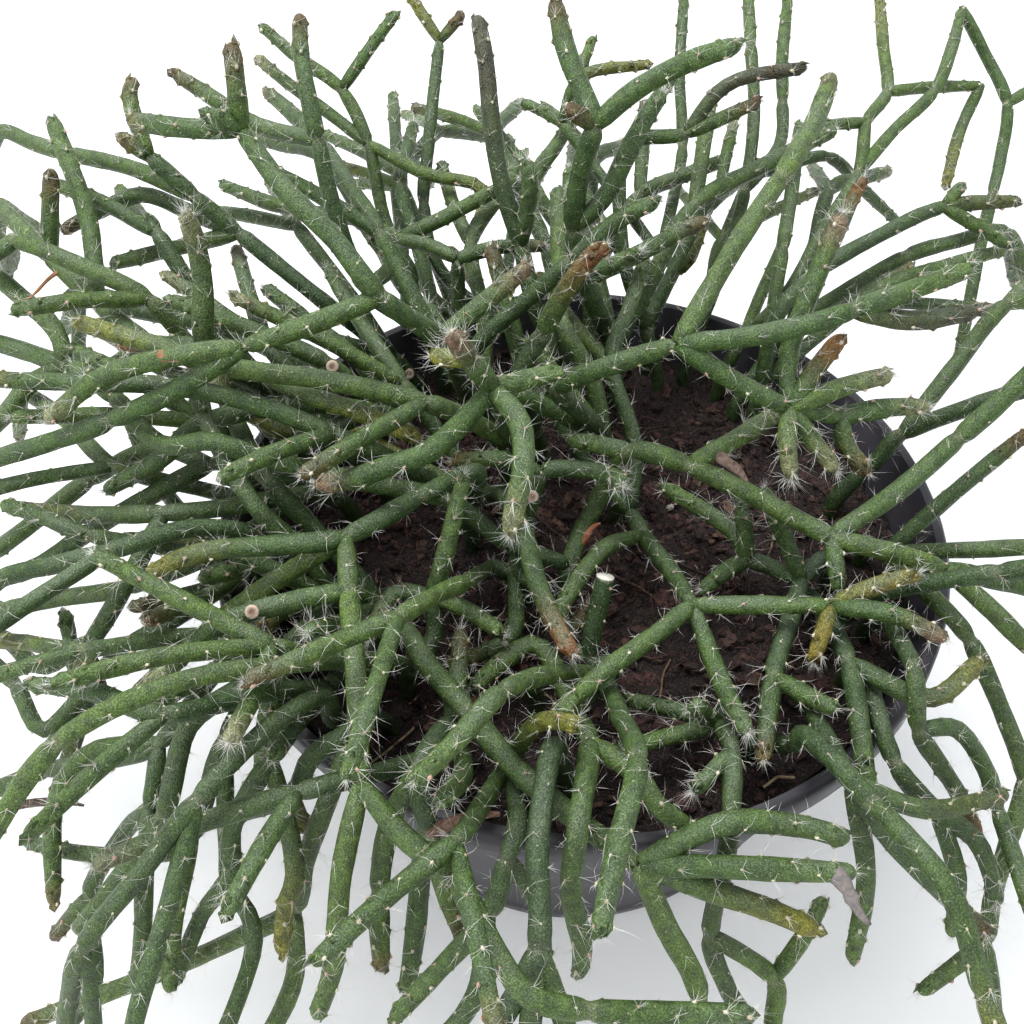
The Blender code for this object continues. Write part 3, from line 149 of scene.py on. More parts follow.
# The shoots that the photograph shows. A joint has a name, the pixel across and down where it appears and its
# height in mm. A stem is a run of joints. More: stems that grow on from a joint. Tips: what some ends look like.
shoots = {
    "shoot_01": dict(
        root=(500, 455), thick=1.0, more=dict(j4=1),
        tips="d2 brown, e1 hairy, g2 tan, i3 cream, s2 pink, j4 light",
        stems="root k a b c d, d d1 d2, d e1, d g1 g2, a h1 h, h i1 i2 i3, h j1 j2 j3 j4, k s1 s2",
        joints="""
            k 450 338 137, a 390 298 152, b 340 238 162, c 290 190 169, d 245 130 175, d1 240 88 183,
            d2 235 42 190, e1 208 112 181, g1 186 128 175, g2 132 121 172, h1 320 328 149, h 255 353 145,
            i1 189 371 141, i2 120 390 135, i3 64 433 125, j1 189 391 136, j2 122 423 127, j3 60 446 118,
            j4 0 470 108, s1 500 298 143, s2 541 264 149""",
    ),
    "shoot_02": dict(
        root=(500, 520), thick=1.05,
        tips="m2 pink, n2 light, o5 pink, p4 cream, r2 yellow",
        stems="root b m1 m2, b n1 n2, b o1 o2 o3 o4 o5, b p1 p2 p3 p4, m1 r2",
        joints="""
            b 490 402 139, m1 468 372 148, m2 449 344 158, n1 525 392 140, n2 562 383 141, o1 457 437 136,
            o2 425 462 134, o3 385 474 131, o4 350 486 127, o5 314 490 124, p1 516 430 140, p2 523 470 139,
            p3 514 518 134, p4 508 545 130, r2 428 368 147""",
    ),
    "shoot_03": dict(
        root=(470, 420), thick=0.88,
        stems="root t, t u1 u2 u3 u4 u5, t v1 v2, u2 w1 w2 w3",
        joints="""
            t 456 262 126, u1 425 250 126, u2 392 245 124, u3 350 225 121, v1 500 250 126, v2 545 249 124,
            u4 280 214 120, u5 215 190 119, w1 430 228 128, w2 470 207 131, w3 512 186 134""",
    ),
    "shoot_04": dict(
        root=(480, 430), thick=0.95,
        tips="e hairy, h hairy",
        stems="root a b c d e, c g h",
        joints="""
            a 470 352 114, b 520 303 126, c 568 262 137, d 615 222 147, e 656 202 153, g 600 266 139,
            h 636 250 144""",
    ),
    "shoot_05": dict(
        root=(540, 470), thick=1.05,
        tips="e rust",
        stems="root a b c d e",
        joints="a 520 385 117, b 545 330 130, c 570 284 142, d 592 255 150, e 608 242 153",
    ),
    "shoot_06": dict(
        root=(620, 500), thick=1.0,
        tips="c5 tan, d5 light, e2 violet, g4 pink, h3 cream, i2 cream, l2 cream, m2 cream, n2 brown, q2 orange",
        stems="""
            root a b j, j c1 c2 c3 c4 c5, j d1 d2 d3 d4 d5, d3 e1 e2, j f1 f2 k, k g1 g2 g3 g4, k h1 h2 h3,
            k i1 i2, k l1 l2, k m1 m2, h1 n1 n2, k q1 q2""",
        joints="""
            a 560 393 128, b 620 366 139, j 677 345 146, c1 710 290 152, c2 740 240 157, c3 780 180 163,
            c4 812 128 167, c5 831 77 170, d1 740 340 146, d2 800 328 147, d3 845 315 148, d4 905 298 148,
            d5 962 278 148, e1 905 322 143, e2 970 313 141, f1 720 368 142, f2 764 386 139, k 797 393 137,
            g1 802 345 143, g2 816 305 151, g3 836 255 159, g4 857 205 165, h1 852 393 134, h2 900 388 134,
            h3 938 388 133, i1 845 375 138, i2 895 363 139, l1 796 430 133, l2 800 466 127, m1 820 430 130,
            m2 844 460 125, n1 855 425 128, n2 881 459 123, q1 832 360 141, q2 855 331 146""",
    ),
    "shoot_07": dict(
        root=(556, 606), thick=1.0, more=dict(e2=1, e4=2, f3=1),
        tips="e2 light, f3 light",
        stems="root za zb b c x d y e, b a, c c1 c2, d z f f1 f2 f3, d g, e e1 e2, e e3 e4",
        joints="""
            za 574 540 92, zb 600 485 104, a 563 440 113, b 622 452 117, c 679 466 118, x 745 497 115,
            d 817 535 112, y 880 562 107, e 932 583 102, c1 735 435 122, c2 783 404 125, z 880 482 118,
            f 946 430 126, f1 985 400 132, f2 1024 367 139, f3 1055 345 143, g 826 590 106, e1 978 600 97,
            e2 1030 612 92, e3 985 620 95, e4 1030 660 87""",
    ),
    "shoot_08": dict(
        root=(615, 515), thick=0.92,
        tips="i3 light, k2 ochre, l2 ochre, m2 pink, n3 hairy",
        stems="root a b h, a o1 o2 o3, h i1 i2 i3, h j1 g, g k1 k2, g l1 l2, g m1 m2, h n1 n2 n3",
        joints="""
            a 640 545 88, b 665 585 94, h 685 627 98, i1 640 662 99, i2 590 697 99, i3 540 747 97,
            j1 750 630 99, g 821 634 99, k1 862 612 101, k2 905 598 103, l1 822 662 96, l2 820 690 92,
            m1 870 662 97, m2 918 692 94, n1 702 675 93, n2 722 728 91, n3 743 768 94, o1 607 563 93,
            o2 577 612 95, o3 561 645 94""",
    ),
    "shoot_09": dict(
        root=(480, 520), thick=0.95,
        tips="d salmon",
        stems="root z a b c d",
        joints="z 490 510 100, a 505 548 106, b 518 600 108, c 535 645 108, d 552 678 107",
    ),
    "shoot_10": dict(
        root=(528, 600), thick=0.9,
        tips="e hairy",
        stems="root z a b c d e, b f g, z h i, z j k l",
        joints="""
            z 536 580 88, a 545 530 97, b 561 477 111, c 602 472 112, d 632 478 116, e 640 486 121,
            f 520 462 113, g 470 470 112, h 553 594 90, i 562 609 89, j 545 630 87, k 515 652 87, l 470 665 90""",
    ),
    "shoot_11": dict(
        root=(405, 690), thick=0.9,
        stems="root a x b c, x d e, x f g",
        joints="""
            a 425 640 92, x 433 612 97, b 442 580 104, c 462 490 119, d 470 627 95, e 503 650 93, f 400 625 92,
            g 372 672 90""",
    ),
    "shoot_12": dict(
        root=(470, 540), thick=0.98,
        tips="f yellow, o hairy, u light, r3 brown, x cream",
        stems="root a b p c d e f, p g h q, q i j k l m n o, q s t u, p r1 r2 r3, g v w x",
        joints="""
            a 485 472 117, b 430 502 117, p 357 546 117, c 300 549 117, d 245 550 114, e 205 560 110,
            f 168 577 105, g 358 610 112, h 362 700 107, q 374 782 101, i 420 830 102, j 472 873 104,
            k 510 940 103, l 545 985 101, m 600 999 99, n 680 1003 97, o 762 1002 95, s 357 870 88,
            t 350 957 71, u 332 1012 60, r1 270 598 104, r2 204 629 97, r3 128 693 87, v 310 628 109,
            w 238 655 104, x 165 722 96""",
    ),
    "shoot_13": dict(
        root=(395, 610), thick=1.05, more=dict(o=1),
        tips="g light, j light, m yellow",
        stems="root a b c d r, r e f g, r h i j, r k l m, r n o",
        joints="""
            a 424 697 97, b 470 732 99, c 519 770 100, d 575 818 99, r 628 864 97, e 700 858 96, f 770 860 94,
            g 838 862 92, h 705 832 96, i 775 836 93, j 832 851 89, k 700 885 90, l 760 905 86, m 812 928 82,
            n 655 925 84, o 690 1000 72""",
    ),
    "shoot_14": dict(
        root=(345, 600), thick=1.0,
        tips="f cut, h light",
        stems="root a b c d e f, a g h",
        joints="""
            a 290 650 97, b 252 690 95, c 224 743 88, d 194 822 76, e 150 885 66, f 112 932 58, g 273 730 88,
            h 270 790 77""",
    ),
    "shoot_15": dict(
        root=(350, 520), thick=0.95,
        tips="e yellow, h tan, i olive",
        stems="root a b c d e, c f g, g h, g i",
        joints="""
            a 311 492 106, b 240 508 107, c 176 519 105, d 95 518 101, e 18 510 96, f 143 590 98, g 104 655 88,
            h 95 682 83, i 120 702 80""",
    ),
    "shoot_16": dict(
        root=(430, 480), thick=0.98, more=dict(f=1, i=1),
        tips="f light, x hairy",
        stems="root a b c s d e f, s g h i, a t u v w x",
        joints="""
            a 375 415 112, b 320 432 114, c 260 446 113, s 200 463 108, d 150 490 102, e 95 530 95, f 40 570 87,
            g 140 455 108, h 70 480 103, i 10 530 93, t 319 408 120, u 255 424 119, v 196 441 115,
            w 160 470 112, x 102 504 104""",
    ),
    "shoot_17": dict(
        root=(385, 420), thick=1.05, more=dict(e=2, k=2, n=1, p=1),
        tips="g brown, e light, r light",
        stems="root a b c d e, d f g, b h i j k, i l m n, i o p, c q r",
        joints="""
            a 255 385 112, b 150 345 122, c 100 303 125, d 52 258 127, e 0 207 126, f 52 215 136, g 53 170 145,
            h 110 375 116, i 70 373 114, j 30 358 112, k -10 346 109, l 60 338 119, m 30 308 121, n -5 283 121,
            o 38 398 109, p 18 430 104, q 97 212 133, r 63 122 146""",
    ),
    "shoot_18": dict(
        root=(430, 400), thick=0.95, more=dict(g=1),
        tips="d tan, n tan, g light",
        stems="root a b u c d, u e f g, b h i j, b k l, c m n",
        joints="""
            a 320 300 116, b 240 238 129, u 195 200 138, c 150 160 147, d 118 138 152, e 135 172 137,
            f 70 156 134, g 0 134 130, h 145 207 129, i 100 223 125, j 62 243 121, k 170 247 124, l 107 262 119,
            m 131 106 157, n 134 80 161""",
    ),
    "shoot_19": dict(
        root=(455, 400), thick=0.92,
        tips="f brown, i light",
        stems="root a b c d e f, a g h i, c j k l",
        joints="""
            a 370 290 122, b 340 215 141, c 322 140 156, d 312 95 164, e 305 55 170, f 303 14 175,
            g 398 262 120, h 381 232 127, i 366 207 132, j 262 125 152, k 205 90 156, l 176 72 158""",
    ),
    "shoot_20": dict(
        root=(475, 370), thick=0.78,
        tips="d hairy, l yellow",
        stems="root a b v w c d, w e f, v g h i, v j k l",
        joints="""
            a 410 270 108, b 386 220 117, v 370 150 131, w 343 95 141, c 300 63 146, d 262 30 151, e 368 58 148,
            f 398 17 154, g 335 122 135, h 285 85 139, i 258 62 141, j 425 183 126, k 480 198 124,
            l 470 248 113""",
    ),
    "shoot_21": dict(
        root=(520, 370), thick=0.78,
        tips="f yellow, g brown",
        stems="root a b c d x, x e f, x g",
        joints="""
            a 440 270 108, b 425 205 119, c 430 150 129, d 435 95 138, x 441 42 147, e 425 18 151, f 410 -6 155,
            g 465 14 152""",
    ),
    "shoot_22": dict(
        root=(580, 420), thick=0.98,
        tips="f violet, h hairy",
        stems="root a b c d e f, b g h",
        joints="""
            a 545 320 116, b 530 245 131, c 515 175 146, d 506 120 156, e 500 60 166, f 491 12 173,
            g 533 200 142, h 533 160 151""",
    ),
    "shoot_23": dict(
        root=(610, 400), thick=1.05,
        tips="d brown, f brown, i hairy, n hairy, j brown",
        stems="root a b c y d e f, y g h i, y j, b k l m n",
        joints="""
            a 590 300 124, b 574 228 142, c 588 165 157, y 600 120 167, d 590 92 171, e 572 48 177,
            f 560 -4 183, g 640 85 174, h 690 58 181, i 746 38 188, j 572 98 173, k 600 195 150, l 620 155 158,
            m 641 115 165, n 657 92 169""",
    ),
    "shoot_24": dict(
        root=(650, 390), thick=0.82,
        tips="f violet, h light",
        stems="root a b c d, c e f, b g h",
        joints="""
            a 628 260 118, b 630 158 138, c 690 145 142, d 765 110 149, e 735 100 151, f 812 85 155,
            g 652 120 147, h 680 82 154""",
    ),
    "shoot_25": dict(
        root=(690, 360), thick=0.8,
        stems="root a b c d e, b f g h",
        joints="""
            a 720 270 106, b 740 195 117, c 748 120 128, d 745 50 139, e 742 -8 147, f 775 150 122,
            g 779 60 137, h 785 0 146""",
    ),
    "shoot_26": dict(
        root=(650, 345), thick=0.75,
        tips="h light, j yellow, l yellow",
        stems="root a b c d, a e f g, f h, f i j, a k l",
        joints="""
            a 660 260 106, b 682 150 120, c 679 80 131, d 684 -4 143, e 600 180 118, f 560 128 126,
            g 520 105 129, h 592 40 140, i 580 80 138, j 648 68 140, k 684 270 108, l 706 216 116""",
    ),
    "shoot_27": dict(
        root=(745, 370), thick=0.8, more=dict(q=1),
        stems="root a b z c y d e, y f g, z h i j k, k l m n o p, m q, c r, g s t",
        joints="""
            a 790 300 108, b 822 240 117, z 858 178 123, c 868 125 129, y 890 92 132, d 886 45 138,
            e 882 -5 143, f 935 86 130, g 985 84 127, h 893 135 126, i 930 98 130, j 947 55 135, k 958 14 140,
            l 980 55 131, m 1004 106 121, n 998 160 112, o 980 240 100, p 955 370 80, q 1035 92 121,
            r 822 128 131, s 964 130 121, t 950 185 115""",
    ),
    "shoot_28": dict(
        root=(740, 430), thick=0.88,
        tips="d olive, i orange, e light",
        stems="root a b c q d, q e, q f, b h i",
        joints="""
            a 775 320 112, b 820 272 119, c 880 237 123, q 941 210 124, d 1018 204 124, e 961 186 128,
            f 1008 250 116, g 905 135 122, h 845 215 125, i 862 180 131""",
    ),
    "shoot_29": dict(
        root=(240, 420), thick=1.05,
        tips="d cream, f orange",
        stems="root a b c d, a e f",
        joints="a 222 350 131, b 217 292 143, c 210 250 151, d 198 216 160, e 180 356 126, f 138 350 124",
    ),
    "shoot_30": dict(
        root=(800, 600), thick=0.95,
        tips="i yellow, d light",
        stems="root a b c d, a h i",
        joints="a 838 670 95, b 857 745 90, c 868 795 83, d 880 841 76, h 920 697 97, i 975 656 98",
    ),
    "shoot_31": dict(
        root=(765, 690), thick=0.9,
        tips="d brown, h olive, f light",
        stems="root a b c d, a e f, a g h",
        joints="""
            a 830 790 93, b 865 848 83, c 910 892 72, d 960 937 60, e 850 880 74, f 836 965 55, g 900 815 84,
            h 978 800 78""",
    ),
    "shoot_32": dict(
        root=(380, 500), thick=0.95,
        tips="f yellow",
        stems="root b, b c d e f",
        joints="b 262 370 126, c 300 396 129, d 345 405 129, e 385 420 126, f 424 437 123",
    ),
    "shoot_33": dict(
        root=(380, 640), thick=0.95, more=dict(h=1, i=1),
        tips="d light, e yellow",
        stems="root a b c d, c e, a f g h, g i",
        joints="""
            a 357 728 93, b 322 770 88, c 288 807 80, d 214 835 64, e 304 850 69, f 293 881 62, g 281 933 50,
            h 168 988 32, i 283 1003 38""",
    ),
    "shoot_34": dict(
        root=(270, 560), thick=0.9, more=dict(d=1, h=1),
        stems="root a b c d, b e f g h, g i, b j k l, e m n",
        joints="""
            a 212 700 92, b 170 750 84, c 50 773 64, d -10 796 54, e 170 815 70, f 128 852 58, g 87 915 42,
            h 92 1000 24, i 50 957 30, j 115 757 76, k 85 805 66, l 85 900 48, m 178 880 58, n 166 985 36""",
    ),
    "shoot_35": dict(
        root=(440, 730), thick=0.98,
        stems="root z a b c d e, a f g h, b i j, z k l",
        joints="""
            a 405 795 97, b 412 850 85, c 411 900 71, d 402 955 59, e 392 1015 47, f 380 865 76, g 372 930 61,
            h 376 1005 46, i 428 915 70, j 446 962 60, z 436 738 87, k 447 682 89, l 451 640 93""",
    ),
    "shoot_36": dict(
        root=(505, 760), thick=0.92, more=dict(h=1),
        tips="e light, g light",
        stems="root a b c d e, b f g, c h",
        joints="""
            a 540 810 94, b 518 862 88, c 497 912 79, d 450 962 66, e 403 1012 54, f 546 905 74, g 553 968 60,
            h 480 995 58, i 440 1000 50""",
    ),
    "shoot_37": dict(
        root=(560, 725), thick=0.98,
        stems="root z a b c d e, a f g h, z i j k",
        joints="""
            a 573 767 93, b 572 840 92, c 576 900 80, d 585 955 67, e 581 987 60, f 640 795 93, g 673 823 90,
            h 715 856 82, z 562 733 87, i 530 666 88, j 492 682 88, k 456 711 89""",
    ),
    "shoot_38": dict(
        root=(722, 715), thick=0.88, more=dict(e=1, g=1),
        stems="root z a b c d e, c f g, f h i, a j, z k l, z m n, z o p",
        joints="""
            a 734 765 91, b 726 850 86, c 708 937 66, d 727 990 55, e 745 1028 46, f 768 980 56, g 766 1030 46,
            h 798 938 61, i 818 900 68, j 690 817 92, z 724 732 87, k 680 718 86, l 632 707 86, m 680 743 86,
            n 618 758 86, o 705 717 93, p 703 714 101""",
    ),
    "shoot_39": dict(
        root=(865, 640), thick=0.85, more=dict(h=1),
        tips="e orange, h light",
        stems="root a b c d e, b f g h",
        joints="""
            a 900 690 98, b 912 720 92, c 932 755 84, d 955 790 76, e 976 834 66, f 945 722 89, g 967 765 79,
            h 972 805 71""",
    ),
    "shoot_40": dict(
        root=(850, 560), thick=0.92, more=dict(j=1, m=1),
        stems="root a b c k e f g h i, g j, k m",
        joints="""
            a 935 602 97, b 966 652 89, c 1000 722 77, k 1021 785 67, e 1005 850 59, f 991 900 51, g 983 943 45,
            h 955 967 40, i 918 995 35, j 991 1000 35, m 1060 800 62""",
    ),
    "shoot_41": dict(
        root=(840, 690), thick=0.9,
        stems="root a b c d, b e f",
        joints="a 880 790 86, b 925 838 75, c 965 866 66, d 986 925 52, e 945 900 60, f 940 960 46",
    ),
    "shoot_42": dict(
        root=(300, 545), thick=0.92, more=dict(d=1, h=1, j=1),
        stems="root a b c d, b e f h, f g, f i j",
        joints="""
            a 220 575 99, b 130 589 92, c 60 598 86, d 0 606 81, e 95 640 78, f 73 655 73, g 64 612 77,
            h 80 705 60, i 38 668 68, j 5 640 70""",
    ),
    "shoot_43": dict(
        root=(285, 590), thick=0.88, more=dict(h=1),
        stems="root a b c d e, c f g h",
        joints="""
            a 200 640 93, b 150 660 85, c 112 690 76, d 88 745 65, e 58 829 50, f 60 740 66, g 30 692 70,
            h -5 658 72""",
    ),
    "shoot_44": dict(
        root=(305, 660), thick=0.85, more=dict(k=1),
        stems="root a b c d e, b f g, a h i j, h k",
        joints="""
            a 240 785 78, b 195 866 61, c 150 873 57, d 90 863 52, e 34 852 48, f 190 940 47, g 187 1012 35,
            h 232 897 56, i 200 935 46, j 171 1003 33, k 262 950 46""",
    ),
    "shoot_45": dict(
        root=(350, 690), thick=0.92,
        tips="d hairy",
        stems="root a b c d, a e f g",
        joints="""
            a 312 765 88, b 272 830 74, c 269 870 66, d 262 905 59, e 340 862 70, f 329 905 62, g 325 950 54""",
    ),
    "shoot_46": dict(
        root=(586, 690), thick=0.95,
        tips="a cut",
        stems="root z a, z b c",
        joints="z 589 672 86, a 602 592 103, b 568 660 87, c 588 624 92",
    ),
    "shoot_47": dict(
        root=(525, 712), thick=0.9,
        tips="a cut",
        stems="root a",
        joints="a 518 686 88",
    ),
    "shoot_48": dict(
        root=(808, 590), thick=0.95,
        stems="root z a b c, z d e, d f g, d h, z i j, b k l",
        joints="""
            z 803 608 86, a 785 660 92, b 767 715 92, c 753 797 90, d 752 583 87, e 706 612 87, f 735 550 90,
            g 668 506 92, h 747 524 102, i 783 562 95, j 762 515 106, k 805 745 89, l 836 762 90""",
    ),
}


def entriesOf(text):
    # the comma-separated entries of a table's line, each split into words
    return [entry.split() for entry in text.split(",")]


def viewpoint():
    # the photograph's view: forward, to the right and up
    forward = (photoView["towards"] - photoView["from"]).normalized()
    right = forward.cross(Vector((0, 0, 1))).normalized()
    return forward, right, right.cross(forward)


def placeOf(across, down, height):
    # where the line of sight through a pixel reaches a height
    forward, right, up = viewpoint()
    half = photoView["sidePx"] / 2
    ray = forward * photoView["focalPx"] + right * (across - half) + up * (half - down)
    return photoView["from"] + ray * ((height - photoView["from"].z) / ray.z)


def potRadius(height):
    # outside of the pot's wall
    low, high = potSize["baseRadius"], potSize["rimRadius"] - potSize["lipOut"]
    return low + (high - low) * height / potSize["height"]


def potInside(height):
    # inside of the pot's wall
    low = potSize["baseRadius"] - potSize["wall"]
    high = potSize["rimRadius"] - potSize["lipOut"] - potSize["wall"]
    return low + (high - low) * (height - potSize["floor"]) / (potSize["height"] - potSize["floor"])


def soilHeight(x, y):
    # the wavy top of the medium's solid
    wave = math.sin(x * 190 + 1.3) * math.cos(y * 160 - 0.4) + 0.6 * math.sin((x - y) * 330 + 2.0)
    return soilSize["top"] + soilSize["relief"] * wave * 0.6


class Skeleton:
    # points in space, some held or slow to give way, and the stems that run through them

    def __init__(self):
        self.points = []
        self.held = []
        self.give = []
        self.stems = []
        self.named = {}

    def addPoint(self, place, give=1.0, held=False):
        self.points.append(tuple(place))
        self.give.append(give)
        self.held.append(held)
        return len(self.points) - 1

    def addStem(self, shoot, run, thick, sides):
        radius = stemSize["radius"] * thick * stemSize["flatToRound"][sides]
        self.stems.append(dict(shoot=shoot, run=run, thick=thick, sides=sides, radius=radius, joints=set()))

    def markJoints(self):
        # a stem has a joint at each fork, and more where it would be too long without
        starts = {stem["run"][0] for stem in self.stems}
        for stem in self.stems:
            run, since = stem["run"], 0.0
            for i in range(1, len(run)):
                since += math.dist(self.points[run[i - 1]], self.points[run[i]])
                ahead = next((j for j in range(i + 1, len(run)) if run[j] in starts or j == len(run) - 1), i)
                left = sum(math.dist(self.points[run[k]], self.points[run[k + 1]]) for k in range(i, ahead))
                longest = stemSize["longestSegment"]
                if run[i] in starts or (since > longest * 0.5 and since + left > longest):
                    stem["joints"].add(run[i])
                    since = 0.0


def smoothRun(places, steps=None):
    # a smooth curve through the places, and which of its points they are
    found, given = [Vector(places[0])], [0]
    for i in range(len(places) - 1):
        a, b = Vector(places[i]), Vector(places[i + 1])
        before = Vector(places[i - 1]) if i else a - (b - a)
        after = Vector(places[i + 2]) if i + 2 < len(places) else b + (b - a)
        count = steps or max(1, round((b - a).length / stemSize["spanLength"]))
        for step in range(1, count + 1):
            t = step / count
            found.append(0.5 * (2 * a + (b - before) * t + (2 * before - 5 * a + 4 * b - after) * t ** 2
                                + (3 * a - before - 3 * b + after) * t ** 3))
        given.append(len(found) - 1)
    return found, given


def spreadRoots():
    # where every shoot stands, the traced ones first, pushed apart until they have room
    stands = []
    for spec in shoots.values():
        for names in entriesOf(spec["stems"]):
            if names[0] == "root":
                at = placeOf(*spec["root"], soilSize["top"])
                stands.append([at.x + len(stands) * soilSize["nudge"], at.y])
    for number in range(growth["shoots"]):
        around = 2 * math.pi * (number + 0.5) / growth["shoots"]
        stands.append([growth["ring"] * math.cos(around), growth["ring"] * math.sin(around)])
    stands = np.array(stands)
    most = potRadius(soilSize["top"]) - potSize["wall"] - soilSize["wallClearance"]
    for _ in range(easing["rootSteps"]):
        away = stands[:, None] - stands[None]
        size = np.linalg.norm(away, axis=2) + np.eye(len(stands))
        short = np.maximum(soilSize["rootSpacing"] - size, 0) * (1 - np.eye(len(stands)))
        stands = stands + (away / size[:, :, None] * short[:, :, None]).sum(1) * easing["rootPush"]
        radius = np.linalg.norm(stands, axis=1)
        stands *= np.minimum(most / radius, 1)[:, None]
    return [Vector((x, y, soilHeight(x, y))) for x, y in stands]


def traceShoot(skeleton, name, spec, stands, rng):
    # a shoot that the photograph shows, through the joints of its table
    thick = spec["thick"]
    joints = {joint: [int(word) for word in words] for joint, *words in entriesOf(spec["joints"])}
    index = {}
    for names in entriesOf(spec["stems"]):
        traced = [joints[n] for n in names if n != "root"]
        places = [placeOf(across, down, height / 1000) for across, down, height in traced]
        if names[0] == "root":
            stand = stands.pop(0)
            low = stand - Vector((0, 0, soilSize["rootHoleDepth"] - soilSize["gap"]))
            height = places[0].z - stand.z
            rise = stand.lerp(places[0], stemSize["firstLean"])
            least, part, most = stemSize["firstRise"]
            rise.z = stand.z + min(max(least, part * height), most * height)
            curve, given = smoothRun([stand + Vector((0, 0, soilSize["footHeight"])), rise] + places)
            run = [skeleton.addPoint(low, held=True), skeleton.addPoint(curve[0], held=True)]
            run += [skeleton.addPoint(p, easing["tracedGive"]) for p in curve[1:]]
            for n, g in zip(names[1:], given[2:]):
                index[n] = run[g + 1]
        else:
            start = Vector(skeleton.points[index[names[0]]])
            curve, given = smoothRun([start] + places[1:])
            run = [index[names[0]]] + [skeleton.addPoint(p, easing["tracedGive"]) for p in curve[1:]]
            for n, g in zip(names[1:], given[1:]):
                index[n] = run[g]
        sides = stemSize["mainSides"] if thick > stemSize["thinShoot"] else stemSize["fineSides"]
        skeleton.addStem(name, run, thick, sides)
        if names[0] == "root" and len(run) > 4:
            lowBranches(skeleton, name, run, thick, rng)
    skeleton.named.update({name + "." + joint: point for joint, point in index.items()})
    for joint, count in spec.get("more", {}).items():
        grow(skeleton, name, index[joint], headingAt(skeleton, index[joint]), thick, count, rng)


def lowBranches(skeleton, name, run, thick, rng):
    # a few stems low on a traced shoot, except towards the open part at the front
    start = Vector(skeleton.points[run[2]])
    around = math.atan2(start.y, start.x) + rng.uniform(-growth["lowTurn"], growth["lowTurn"])
    if start.to_2d().length < growth["lowFree"]:
        around = rng.uniform(*(math.radians(side) for side in growth["lowBack"]))
    first, last = (math.radians(side) for side in growth["lowOpen"])
    if first < around < last:
        return
    heading = Vector((math.cos(around), math.sin(around), growth["lowRise"])).normalized()
    grow(skeleton, name, run[2], heading, thick * growth["lowThick"], growth["lowStems"], rng,
         growth["lowLift"], growth["lowTop"])


def headingAt(skeleton, point):
    # the way a stem points where it ends
    for stem in skeleton.stems:
        if stem["run"][-1] == point:
            a, b = stem["run"][-2:]
            return (Vector(skeleton.points[b]) - Vector(skeleton.points[a])).normalized()
    return Vector((0, 0, 1))


def hang(place, heading, lift, top):
    # which way a stem turns and how steeply it rises at a place: up in the middle, over and down outside
    radius = math.hypot(place.x, place.y)
    t = min(max((radius - growth["hangFrom"]) / growth["hangOver"], 0), 1)
    low, high = growth["riseAtAxis"], growth["riseAtEdge"]
    rise = math.radians(low + lift + (high - low) * t * t * (3 - 2 * t))
    if place.z > top:
        rise = min(rise, math.radians(growth["riseOverTop"]))
    if place.z < growth["nearFloor"] * growth["lowestEnd"]:
        rise = max(rise, math.radians(growth["riseNearFloor"]))
    outwards = math.atan2(place.y, place.x)
    upright = heading.to_2d().length < 0.2
    around = outwards if upright else math.atan2(heading.y, heading.x)
    turn = (outwards - around + math.pi) % (2 * math.pi) - math.pi
    around += growth["turnOutwards"] * turn
    return around, rise


def grow(skeleton, name, start, heading, thick, stems, rng, lift=0, top=growth["moundTop"]):
    # grows stems on from a point by the rule: each end forks into one to three that fan out and droop
    ends = [(start, heading, thick)]
    while stems > 0 and ends:
        point, heading, thick = ends.pop(0)
        place = Vector(skeleton.points[point])
        before = next((stem for stem in skeleton.stems if stem["run"][-1] == point), None)
        children = rng.choice((1, 2, 2, 3))
        fan = rng.uniform(*growth["fan"])
        for child in range(min(children, stems)):
            tilt = rng.uniform(-growth["liftSpread"], growth["liftSpread"])
            around, rise = hang(place, heading, lift + tilt, top)
            around += (child - (children - 1) / 2) * fan + rng.uniform(-growth["aimSpread"], growth["aimSpread"])
            rise += (child % 2) * rng.uniform(-growth["riseSpread"], growth["riseSpread"])
            level = math.cos(rise)
            aim = Vector((math.cos(around) * level, math.sin(around) * level, math.sin(rise)))
            along = (heading * growth["keepsOn"] + aim).normalized()
            length = rng.uniform(*growth["lengths"])
            run = [point]
            at = place.copy()
            count = max(2, round(length / stemSize["fineSpanLength"]))
            for _ in range(count):
                _, riseHere = hang(at, along, lift, top)
                droop = Vector((along.x, along.y, math.sin(riseHere) * 0.8)).normalized()
                along = along.lerp(droop, growth["droop"]).normalized()
                at = at + along * length / count
                run.append(skeleton.addPoint(at))
            if before and child == 0:
                before["run"] += run[1:]
            else:
                skeleton.addStem(name, run, thick, stemSize["fineSides"])
            stems -= 1
            if at.to_2d().length < growth["reach"] and at.z > growth["lowestEnd"]:
                ends.append((run[-1], along, max(thick * rng.uniform(*growth["thinner"]), growth["thinnest"])))


def growShoot(skeleton, name, stand, rng):
    # a shoot that the photograph doesn't show, grown whole
    around = math.atan2(stand.y, stand.x)
    front = max(0, -math.sin(around))
    lean = Vector((math.cos(around) * growth["lean"], math.sin(around) * growth["lean"], 1)).normalized()
    thick = rng.uniform(*growth["thick"])
    low = skeleton.addPoint(stand - Vector((0, 0, soilSize["rootHoleDepth"] - soilSize["gap"])), held=True)
    foot = skeleton.addPoint(stand + Vector((0, 0, soilSize["footHeight"])), held=True)
    rise, top = (skeleton.addPoint(stand + lean * up) for up in growth["firstPoints"])
    skeleton.addStem(name, [low, foot, rise, top], thick, stemSize["fineSides"])
    lift = rng.uniform(*growth["lift"]) - growth["frontDrop"] * front
    grow(skeleton, name, top, lean, thick, growth["stems"], rng, lift)


